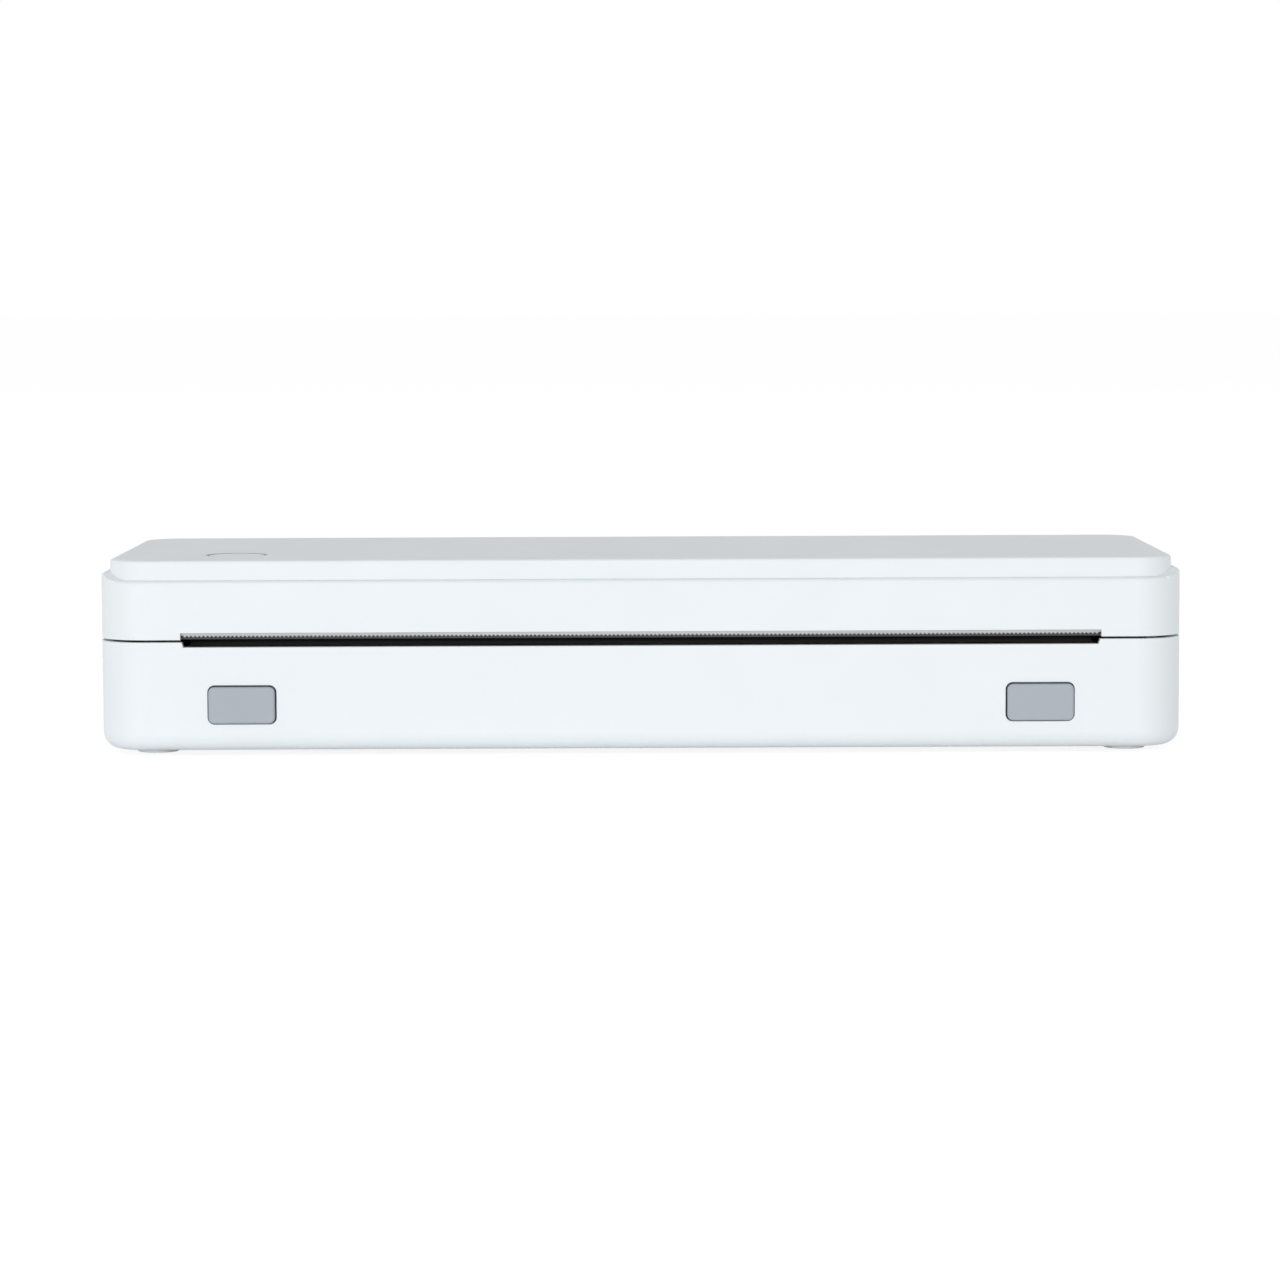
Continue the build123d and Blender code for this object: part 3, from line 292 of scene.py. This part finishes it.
def ranged(tree, mask, low, high):
    """A value that goes from low to high as a mask goes from 0.3 to 0.7."""
    span = {"From_Min": 0.3, "From_Max": 0.7, "To_Min": low, "To_Max": high}
    return node(tree, "ShaderNodeMapRange", Value=mask, **span)[0]


def stripes(tree, pitch):
    """A wave across X, from -1 to 1, at one pitch."""
    across = node(tree, "ShaderNodeSeparateXYZ", Vector=object_place(tree))["X"]
    return maths(tree, "SINE", maths(tree, "MULTIPLY", across, 2 * math.pi / pitch))


def new_finish(name):
    """A new material and its node tree."""
    material = bpy.data.materials.new(name)
    material.use_nodes = True
    return material, material.node_tree


def wired(material, colour, roughness, height, depth, edge_normal=None, metallic=0.0):
    """Feeds a finish to its material's shader, with the height map at that depth in metres."""
    tree = material.node_tree
    shader = tree.nodes["Principled BSDF"].inputs
    relief = {"Height": height, "Distance": depth, "Strength": 1.0}
    if edge_normal is not None:
        relief["Normal"] = edge_normal
    feed(tree, colour, shader["Base Color"])
    feed(tree, roughness, shader["Roughness"])
    feed(tree, metallic, shader["Metallic"])
    feed(tree, node(tree, "ShaderNodeBump", **relief)["Normal"], shader["Normal"])
    return material


def moulded(name, colour, gloss, grains=2600.0, depth=4e-6, edge=0.00025, worn=1.06, dust=0.0):
    """A moulded plastic or rubber: pebbled texture, uneven gloss, eased edges that are worn a little."""
    drift = 0.015
    wear_share = 0.5
    material, tree = new_finish(name)
    texture = placed(tree, SPARK, Grains_per_metre=grains)
    edges = placed(tree, EDGES, Radius=edge)
    tone = uneven(tree, texture["Tone"], colour, drift)
    rubbed = tinted(tree, maths(tree, "MULTIPLY", edges["Edge"], wear_share), tone, shaded(colour, worn))
    if dust:
        film = placed(tree, DUST, Amount=dust)
        rubbed = tinted(tree, film["Dust"], rubbed, shaded(dust_colour))
    roughness = ranged(tree, texture["Gloss"], *gloss)
    return wired(material, rubbed, roughness, texture["Height"], depth, edges["Normal"])


def worked_metal(name, colour, gloss, squeeze, depth=2e-6):
    """A metal with drawn or ground lines along one axis, brighter at its edges."""
    drift = 0.10
    edge = 0.0002
    wear_share = 0.6
    worn = 1.25
    material, tree = new_finish(name)
    lines = placed(tree, LINES, Squeeze=squeeze)
    edges = placed(tree, EDGES, Radius=edge)
    tone = uneven(tree, lines["Tone"], colour, drift)
    rubbed = tinted(tree, maths(tree, "MULTIPLY", edges["Edge"], wear_share), tone, shaded(colour, worn))
    roughness = ranged(tree, lines["Tone"], *gloss)
    return wired(material, rubbed, roughness, lines["Height"], depth, edges["Normal"], metallic=1.0)


def striped_film(name, film, track, pitch):
    """A flat ribbon of printed conductors that run along it, at one pitch across X."""
    widening = 0.1
    sharpness = 3.0
    material, tree = new_finish(name)
    wave = maths(tree, "ADD", stripes(tree, pitch), widening)
    mask = maths(tree, "MULTIPLY", wave, sharpness, clamp=True)
    texture = placed(tree, SPARK, Grains_per_metre=1200.0)
    colour = tinted(tree, mask, uneven(tree, texture["Tone"], film, 0.06), shaded(track))
    return wired(material, colour, ranged(tree, texture["Gloss"], 0.22, 0.34), mask, 4e-5)


def printed_board(name, lacquer, track):
    """A lacquered circuit board with the faint lines of its copper."""
    cells_per_metre = 420.0
    copper_from = 0.52
    copper_share = 0.5
    material, tree = new_finish(name)
    style = {"distance": "MANHATTAN", "feature": "F1"}
    cells = node(tree, "ShaderNodeTexVoronoi", style, Vector=object_place(tree), Scale=cells_per_metre)
    copper = maths(tree, "GREATER_THAN", cells["Distance"], copper_from)
    texture = placed(tree, SPARK, Grains_per_metre=1500.0)
    edges = placed(tree, EDGES, Radius=0.0001)
    tone = uneven(tree, texture["Tone"], lacquer, 0.08)
    colour = tinted(tree, maths(tree, "MULTIPLY", copper, copper_share), tone, shaded(track))
    return wired(material, colour, ranged(tree, texture["Gloss"], 0.28, 0.4), copper, 2e-5, edges["Normal"])


def glazed_head(name, ceramic, glaze, track, line):
    """A ceramic strip with a glazed band, its line of heating dots and the fine tracks that lead to them."""
    sharpness = 3.0
    material, tree = new_finish(name)
    along = node(tree, "ShaderNodeSeparateXYZ", Vector=object_place(tree))["Y"]
    beyond = maths(tree, "SUBTRACT", along, joint_place("platen_spin").y)
    away = maths(tree, "ABSOLUTE", beyond)
    band = maths(tree, "LESS_THAN", away, head_glaze_half)
    dots = maths(tree, "LESS_THAN", away, head_dots_half)
    lead = maths(tree, "MULTIPLY", stripes(tree, head_track_pitch), sharpness, clamp=True)
    tracks = maths(tree, "MULTIPLY", lead, maths(tree, "GREATER_THAN", beyond, 0.0))
    texture = placed(tree, SPARK, Grains_per_metre=3000.0)
    edges = placed(tree, EDGES, Radius=0.0001)
    glass = tinted(tree, tracks, uneven(tree, texture["Tone"], glaze, 0.1), shaded(track))
    strip = tinted(tree, band, uneven(tree, texture["Tone"], ceramic, 0.03), glass)
    colour = tinted(tree, dots, strip, shaded(line))
    height = maths(tree, "ADD", band, dots)
    return wired(material, colour, ranged(tree, band, 0.34, 0.14), height, 3e-5, edges["Normal"])


# Colour and gloss of each, then a moulding's grains, depth, edge and wear, or a metal's squeeze and depth
FINISHES = {
    "shell_white": moulded("White shell plastic", white_plastic, (0.5, 0.62), dust=0.02),
    "button_grey": moulded("Grey button plastic", (0.368, 0.408, 0.446), (0.42, 0.52), 3000.0),
    "inner_dark": moulded("Charcoal inner plastic", (0.03, 0.031, 0.033),
                          (0.45, 0.6), 1900.0, 8e-6, worn=1.5),
    # Near-black: the lip's own colour, and painted shade on the strip behind the paper slot that hides the
    # print head
    "lip_black": moulded("Black lip plastic and painted slot shade", (0.012, 0.012, 0.013), (0.35, 0.5), 2400.0, worn=1.8),
    # A dark grey ring round the power button: its dark colour is painted shade, standing for the shadowed gap
    # round the button
    "ring_painted_shade": moulded("Painted shade ring", (0.26, 0.266, 0.273), (0.25, 0.35), 2400.0, 2e-6, 0.0001, 1.1),
    "guide_grey": moulded("Grey guide plastic", (0.18, 0.20, 0.22), (0.35, 0.48), 2200.0, worn=1.15),
    "gear_white": moulded("Milky gear plastic", (0.72, 0.71, 0.66), (0.3, 0.4), 1500.0, 2e-6, 0.0001),
    "connector_cream": moulded("Cream connector plastic", (0.78, 0.72, 0.58),
                               (0.4, 0.5), 1800.0, 3e-6, 0.0001),
    "chip_black": moulded("Black chip resin", (0.02, 0.02, 0.022), (0.5, 0.62), 5000.0, 3e-6, 0.0001, 1.6),
    "rubber_platen": moulded("Ground platen rubber", (0.035, 0.035, 0.037),
                             (0.62, 0.75), 5200.0, 9e-6, worn=1.3),
    "rubber_foot": moulded("Pale foot rubber", (0.84, 0.85, 0.86), (0.55, 0.7), 3200.0, 5e-6, 0.0003),
    "cell_sleeve": moulded("Cell sleeve film", (0.05, 0.156, 0.275), (0.25, 0.36), 900.0, 6e-6),
    "head_ceramic": glazed_head("Glazed ceramic", (0.66, 0.65, 0.61), (0.085, 0.07, 0.06),
                                (0.21, 0.175, 0.14), (0.02, 0.018, 0.017)),
    "tear_steel": worked_metal("Stamped tear steel", (0.40, 0.41, 0.42), (0.55, 0.68),
                               (60.0, 5000.0, 1200.0)),
    "frame_steel": worked_metal("Zinced sheet steel", (0.50, 0.51, 0.52), (0.3, 0.45),
                                (30.0, 1800.0, 1800.0)),
    "shaft_steel": worked_metal("Ground shaft steel", (0.58, 0.58, 0.59), (0.16, 0.28), (3000.0, 60.0, 60.0)),
    "spring_steel": worked_metal("Spring wire", (0.45, 0.45, 0.46), (0.25, 0.38), (2500.0, 2500.0, 60.0)),
    "blued_steel": worked_metal("Blued spring leaf", (0.035, 0.037, 0.043), (0.45, 0.6),
                                (2500.0, 60.0, 2500.0)),
    "screw_steel": worked_metal("Zinced screw steel", (0.46, 0.47, 0.49), (0.3, 0.42), (900.0, 900.0, 900.0)),
    "motor_metal": worked_metal("Plated motor can", (0.55, 0.55, 0.54), (0.3, 0.44), (1500.0, 50.0, 50.0)),
    "contact_metal": worked_metal("Nickelled contact", (0.60, 0.58, 0.52), (0.22, 0.35),
                                  (2000.0, 60.0, 2000.0)),
    "bush_bronze": worked_metal("Sintered bronze", (0.50, 0.33, 0.16), (0.42, 0.55),
                                (2200.0, 2200.0, 2200.0), 4e-6),
    "head_aluminium": worked_metal("Extruded aluminium", (0.40, 0.405, 0.41), (0.52, 0.64),
                                   (25.0, 2600.0, 2600.0)),
    "board_green": printed_board("Lacquered board", (0.015, 0.10, 0.045), (0.05, 0.22, 0.09)),
    "ribbon_film": striped_film("Printed ribbon film", (0.62, 0.63, 0.64),
                                (0.30, 0.30, 0.31), ribbon_track_pitch),
}

# Nodes whose finish here is another than the one of their slot
REPAINTED = {
    # Painted shade: the ring round the power button is made dark to stand for the shadowed gap
    "power_ring": "ring_painted_shade",
    "latch_leaf_left": "blued_steel",
    "latch_leaf_right": "blued_steel",
}


# ---------------------------------------------------------------- shapes grown from seed points

def shape_tree(name, inputs):
    """An empty geometry tree with named inputs, a turn and a finish, and its two end nodes."""
    ends = [("Turn", "NodeSocketRotation", None), ("Finish", "NodeSocketMaterial", None)]
    shape = ("Geometry", "NodeSocketGeometry")
    return node_group(name, "GeometryNodeTree", [shape + (None,)] + inputs + ends, [shape])


def upright(tree, height):
    """A vector along Z."""
    return node(tree, "ShaderNodeCombineXYZ", Z=height)["Vector"]


def raised(tree, shape, height):
    """A shape moved up."""
    return node(tree, "GeometryNodeTransform", Geometry=shape, Translation=upright(tree, height))["Geometry"]


def finished_points(tree, given, out, shape):
    """Ends a tree: one shape on each seed point, made real and given its finish."""
    spots = node(tree, "GeometryNodeInstanceOnPoints", Points=given["Geometry"], Instance=shape,
                 Rotation=given["Turn"])
    real = node(tree, "GeometryNodeRealizeInstances", Geometry=spots["Instances"])
    done = node(tree, "GeometryNodeSetMaterial", Geometry=real["Geometry"], Material=given["Finish"])
    feed(tree, done["Geometry"], out["Geometry"])
    return tree


def spring_tree():
    """Compression springs with closed ends, wound upwards from each seed point."""
    tree, given, out = shape_tree("Wound springs", [
        ("Coil radius", "NodeSocketFloat", 0.002), ("Wire radius", "NodeSocketFloat", 0.0002),
        ("Length", "NodeSocketFloat", 0.005), ("Turns", "NodeSocketFloat", 5.0),
        ("Closed share", "NodeSocketFloat", 0.16)])
    flat = node(tree, "GeometryNodeCurveSpiral", Resolution=28, Rotations=given["Turns"],
                Start_Radius=given["Coil radius"], End_Radius=given["Coil radius"], Height=0.0)
    share = node(tree, "GeometryNodeSplineParameter")["Factor"]
    wire_width = maths(tree, "MULTIPLY", given["Wire radius"], 2.0)
    packed = maths(tree, "MULTIPLY", wire_width, given["Turns"])
    open_length = maths(tree, "SUBTRACT", maths(tree, "SUBTRACT", given["Length"], packed), wire_width)
    past = maths(tree, "SUBTRACT", share, given["Closed share"])
    middle = maths(tree, "SUBTRACT", 1.0, maths(tree, "MULTIPLY", given["Closed share"], 2.0))
    eased = maths(tree, "DIVIDE", past, middle, clamp=True)
    closed_rise = maths(tree, "MULTIPLY", packed, share)
    rise = maths(tree, "ADD", closed_rise, maths(tree, "MULTIPLY", open_length, eased))
    height = maths(tree, "ADD", rise, given["Wire radius"])
    wound = node(tree, "GeometryNodeSetPosition", Geometry=flat["Curve"], Offset=upright(tree, height))
    round_wire = node(tree, "GeometryNodeCurvePrimitiveCircle", Resolution=10, Radius=given["Wire radius"])
    solid = node(tree, "GeometryNodeCurveToMesh", Curve=wound["Geometry"], Profile_Curve=round_wire["Curve"],
                 Fill_Caps=True)
    return finished_points(tree, given, out, solid["Mesh"])


def screw_tree():
    """Pan-head screws with a cross recess: the head stands on each seed point and the shank hangs below."""
    rim_drop = -0.45            # of the head's height
    recess_reach = 1.15         # of the head's radius
    recess_depth = 1.3          # of the head's height, half of it above the head
    tree, given, out = shape_tree("Pan head screws", [
        ("Head radius", "NodeSocketFloat", 0.0019), ("Head height", "NodeSocketFloat", 0.0009),
        ("Shank radius", "NodeSocketFloat", 0.001), ("Shank length", "NodeSocketFloat", 0.005),
        ("Recess width", "NodeSocketFloat", 0.0005)])
    head_radius = given["Head radius"]
    head_height = given["Head height"]
    disc = node(tree, "GeometryNodeMeshCylinder", Vertices=32, Fill_Segments=5, Radius=head_radius,
                Depth=head_height)
    part = node(tree, "ShaderNodeSeparateXYZ", Vector=node(tree, "GeometryNodeInputPosition")["Position"])
    square = maths(tree, "ADD", maths(tree, "POWER", part["X"], 2.0), maths(tree, "POWER", part["Y"], 2.0))
    ratio = maths(tree, "DIVIDE", square, maths(tree, "POWER", head_radius, 2.0))
    steep = maths(tree, "MULTIPLY", maths(tree, "POWER", ratio, 2.0), head_height)
    drop = maths(tree, "MULTIPLY", steep, rim_drop)
    upper = maths(tree, "GREATER_THAN", part["Z"], 0.0)
    domed = node(tree, "GeometryNodeSetPosition", Geometry=disc["Mesh"], Selection=upper,
                 Offset=upright(tree, drop))
    head = raised(tree, domed["Geometry"], maths(tree, "MULTIPLY", head_height, 0.5))
    reach = maths(tree, "MULTIPLY", head_radius, recess_reach)
    deep = maths(tree, "MULTIPLY", head_height, recess_depth)
    cut = new_node(tree, "GeometryNodeMeshBoolean", operation="DIFFERENCE")
    feed(tree, head, cut.inputs["Mesh 1"])
    for across, along in ((reach, given["Recess width"]), (given["Recess width"], reach)):
        size = node(tree, "ShaderNodeCombineXYZ", X=across, Y=along, Z=deep)["Vector"]
        bar = node(tree, "GeometryNodeMeshCube", Size=size)["Mesh"]
        feed(tree, raised(tree, bar, head_height), cut.inputs["Mesh 2"])
    shank = node(tree, "GeometryNodeMeshCylinder", Vertices=20, Radius=given["Shank radius"],
                 Depth=given["Shank length"])
    hung = raised(tree, shank["Mesh"], maths(tree, "MULTIPLY", given["Shank length"], -0.5))
    whole = new_node(tree, "GeometryNodeJoinGeometry")
    for shape in (cut.outputs["Mesh"], hung):
        feed(tree, shape, whole.inputs[0])
    return finished_points(tree, given, out, whole.outputs[0])


SPRINGS = spring_tree()
SCREWS = screw_tree()


# ---------------------------------------------------------------- pieces

def solids_of(name):
    """The lowest and highest corner of each separate solid of a CAD node, from left to right."""
    shape = bmesh.new()
    shape.from_mesh(frame["nodes"][name].data)
    bmesh.ops.remove_doubles(shape, verts=shape.verts, dist=1e-6)
    waiting = set(shape.verts)
    found = []
    while waiting:
        border = [waiting.pop()]
        group = []
        while border:
            corner = border.pop()
            group.append(corner.co.copy())
            for link in corner.link_edges:
                other = link.other_vert(corner)
                if other in waiting:
                    waiting.discard(other)
                    border.append(other)
        low = Vector(min(point[axis] for point in group) for axis in range(3))
        high = Vector(max(point[axis] for point in group) for axis in range(3))
        found.append((low, high))
    shape.free()
    return sorted(found, key=lambda pair: pair[0].x)


def piece(name, shape, body):
    """Puts a finished mesh in the scene as one piece, on a body if one is given; a piece that spans two
    bodies gets none.
    """
    made = bpy.data.objects.new(name, shape)
    bpy.context.scene.collection.objects.link(made)
    shape.shade_smooth()
    shape.set_sharp_from_angle(angle=math.radians(smooth_below))
    if body:
        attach(made, body)
    return made


def grown(name, tree, seeds, body, slot, **sizes):
    """Runs a geometry tree on seed points and keeps the result as one plain piece on a body."""
    points = bpy.data.meshes.new(name + "_seeds")
    points.from_pydata([tuple(seed) for seed in seeds], [], [])
    maker = bpy.data.objects.new(name + "_maker", points)
    bpy.context.scene.collection.objects.link(maker)
    modifier = maker.modifiers.new("Shape", "NODES")
    modifier.node_group = tree
    sockets = {item.name: item.identifier for item in tree.interface.items_tree if item.in_out == "INPUT"}
    modifier[sockets["Finish"]] = FINISHES[slot]
    for label, value in sizes.items():
        modifier[sockets[label.replace("_", " ")]] = value
    graph = bpy.context.evaluated_depsgraph_get()
    shape = bpy.data.meshes.new_from_object(maker.evaluated_get(graph))
    bpy.data.objects.remove(maker)
    return piece(name, shape, body)


def screws(name, node_name, body, turn):
    """Screws with a real head and recess, where the plain ones stand."""
    seeds = []
    for low, high in solids_of(node_name):
        under_head = high.z - screw_head_height if turn == UP else low.z + screw_head_height
        seeds.append(((low.x + high.x) / 2, (low.y + high.y) / 2, under_head))
    made = grown(name, SCREWS, seeds, body, "screw_steel", Turn=turn, Head_height=screw_head_height)
    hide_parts(node_name)


def springs(name, node_name, body, turn, turns):
    """Wound springs in place of the plain ones."""
    along = 1 if turn == TO_BACK else 2
    seeds = []
    for low, high in solids_of(node_name):
        seed = (low + high) / 2
        seed[along] = low[along]
        seeds.append(seed)
    width = high.x - low.x
    wire_radius = width / wire_share
    made = grown(name, SPRINGS, seeds, body, "spring_steel", Turn=turn, Wire_radius=wire_radius,
                 Coil_radius=width / 2 - wire_radius, Length=high[along] - low[along], Turns=turns)
    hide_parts(node_name)
    low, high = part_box(node_name)
    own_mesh(made)


def ribbon_mesh(name, left, right, route):
    """A flat ribbon between two places in X, swept along a route of (y, z) points."""
    shape = bmesh.new()
    rings = []
    for place, (y, z) in enumerate(route):
        before = Vector(route[max(place - 1, 0)])
        after = Vector(route[min(place + 1, len(route) - 1)])
        ahead = (after - before).normalized()
        side = Vector((ahead.y, -ahead.x)) * (ribbon_thickness / 2)
        ring = [(left, y + side.x, z + side.y), (right, y + side.x, z + side.y),
                (right, y - side.x, z - side.y), (left, y - side.x, z - side.y)]
        rings.append([shape.verts.new(corner) for corner in ring])
    for first, second in zip(rings, rings[1:]):
        for k in range(4):
            shape.faces.new((first[k], first[(k + 1) % 4], second[(k + 1) % 4], second[k]))
    shape.faces.new(rings[0])
    shape.faces.new(rings[-1])
    bmesh.ops.recalc_face_normals(shape, faces=shape.faces)
    mesh = bpy.data.meshes.new(name)
    shape.to_mesh(mesh)
    shape.free()
    mesh.materials.append(FINISHES["ribbon_film"])
    return mesh


def hinge_ribbon():
    """The ribbon's slack loop between the deck and the cover."""
    low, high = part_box("ribbon_loop")
    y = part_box("base_ribbon")[0].y + ribbon_thickness / 2
    route = []
    for k in range(ribbon_steps + 1):
        share = k / ribbon_steps
        slack = ribbon_bow * math.sin(math.pi * share) ** 2
        route.append((y - slack, low.z + (high.z - low.z) * share))
    made = piece("Ribbon_slack", ribbon_mesh("Ribbon_slack", low.x, high.x, route), None)
    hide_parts("ribbon_loop")
    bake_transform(made)


# Each node comes in with a material that is named after its slot
for name, made in frame["nodes"].items():
    slot = made.material_slots[0].material.name.split(".")[0]
    for place in made.material_slots:
        place.material = FINISHES[REPAINTED.get(name, slot)]

screws("Base_screw_set", "base_screws", "base", UP)
screws("Cover_screw_set", "cover_screws", "cover", DOWN)
for hand in ("left", "right"):
    springs("Release_coil_" + hand, "release_spring_" + hand, "base", TO_BACK, 5.0)
springs("Head_coils", "head_springs", "cover", UP, 4.0)
hinge_ribbon()


# ---------------------------------------------------------------- studio

def seen_rays(tree):
    """1 for rays that look at something: from the camera, off gloss or through glass."""
    path = node(tree, "ShaderNodeLightPath")
    gloss = maths(tree, "MAXIMUM", path["Is Camera Ray"], path["Is Glossy Ray"])
    return maths(tree, "MAXIMUM", gloss, path["Is Transmission Ray"])


def grey(level):
    """A neutral colour with its alpha."""
    return (level, level, level, 1.0)


def studio_floor():
    """A pale floor that shows white and still takes the printer's soft shadow."""
    mesh = bpy.data.meshes.new("Studio_floor")
    reach = floor_reach
    corners = [(-reach, -reach, 0.0), (reach, -reach, 0.0), (reach, reach, 0.0), (-reach, reach, 0.0)]
    mesh.from_pydata(corners, [], [(0, 1, 2, 3)])
    made = bpy.data.objects.new("Studio_floor", mesh)
    bpy.context.scene.collection.objects.link(made)
    material, tree = new_finish("Studio paper")
    tree.nodes.clear()
    paper = node(tree, "ShaderNodeBsdfDiffuse", Color=grey(floor_paper))[0]
    shown = node(tree, "ShaderNodeBsdfDiffuse", Color=grey(floor_grey))[0]
    glow = node(tree, "ShaderNodeEmission", Color=grey(1.0), Strength=floor_glow)[0]
    lit = in_order(tree, "ShaderNodeAddShader", {}, shown, glow)[0]
    mix = in_order(tree, "ShaderNodeMixShader", {}, seen_rays(tree), paper, lit)[0]
    node(tree, "ShaderNodeOutputMaterial", Surface=mix)
    mesh.materials.append(material)


def studio_sky():
    """Even light from all round, and plain white where the camera or a reflection looks."""
    world = bpy.data.worlds.new("Studio sky")
    bpy.context.scene.world = world
    world.use_nodes = True
    tree = world.node_tree
    tree.nodes.clear()
    strength = node(tree, "ShaderNodeMapRange", Value=seen_rays(tree), To_Min=sky_light, To_Max=1.0)[0]
    back = node(tree, "ShaderNodeBackground", Color=grey(1.0), Strength=strength)[0]
    node(tree, "ShaderNodeOutputWorld", Surface=back)


def soft_panel(name, place, size, power, gloss=True):
    """A large soft light that faces the printer, out of the camera's sight and perhaps out of the gloss."""
    data = bpy.data.lights.new(name, "AREA")
    data.shape = "RECTANGLE"
    data.size, data.size_y = size
    data.energy = power
    made = bpy.data.objects.new(name, data)
    bpy.context.scene.collection.objects.link(made)
    made.location = place
    made.rotation_euler = (Vector(panel_aim) - Vector(place)).to_track_quat("-Z", "Y").to_euler()
    made.visible_glossy = gloss
    made.visible_camera = False


def studio_camera():
    """A long lens a little above the printer, straight in front of it."""
    data = bpy.data.cameras.new("Camera")
    data.lens = camera_lens
    data.sensor_width = camera_sensor
    made = bpy.data.objects.new("Camera", data)
    bpy.context.scene.collection.objects.link(made)
    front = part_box("base_housing")[0].y
    place = Matrix.Translation((camera_side, front - camera_distance, camera_height))
    tilt = Matrix.Rotation(math.radians(90.0 - camera_pitch), 4, "X")
    roll = Matrix.Rotation(math.radians(camera_roll), 4, "Z")
    made.matrix_world = place @ tilt @ roll
    bpy.context.scene.camera = made


studio_floor()
studio_sky()
soft_panel("Key panel", key_place, key_size, key_power)
for name, place in fill_places.items():
    soft_panel(name, place, fill_size, fill_power, gloss=False)
studio_camera()
bpy.context.scene.view_settings.view_transform = "Standard"
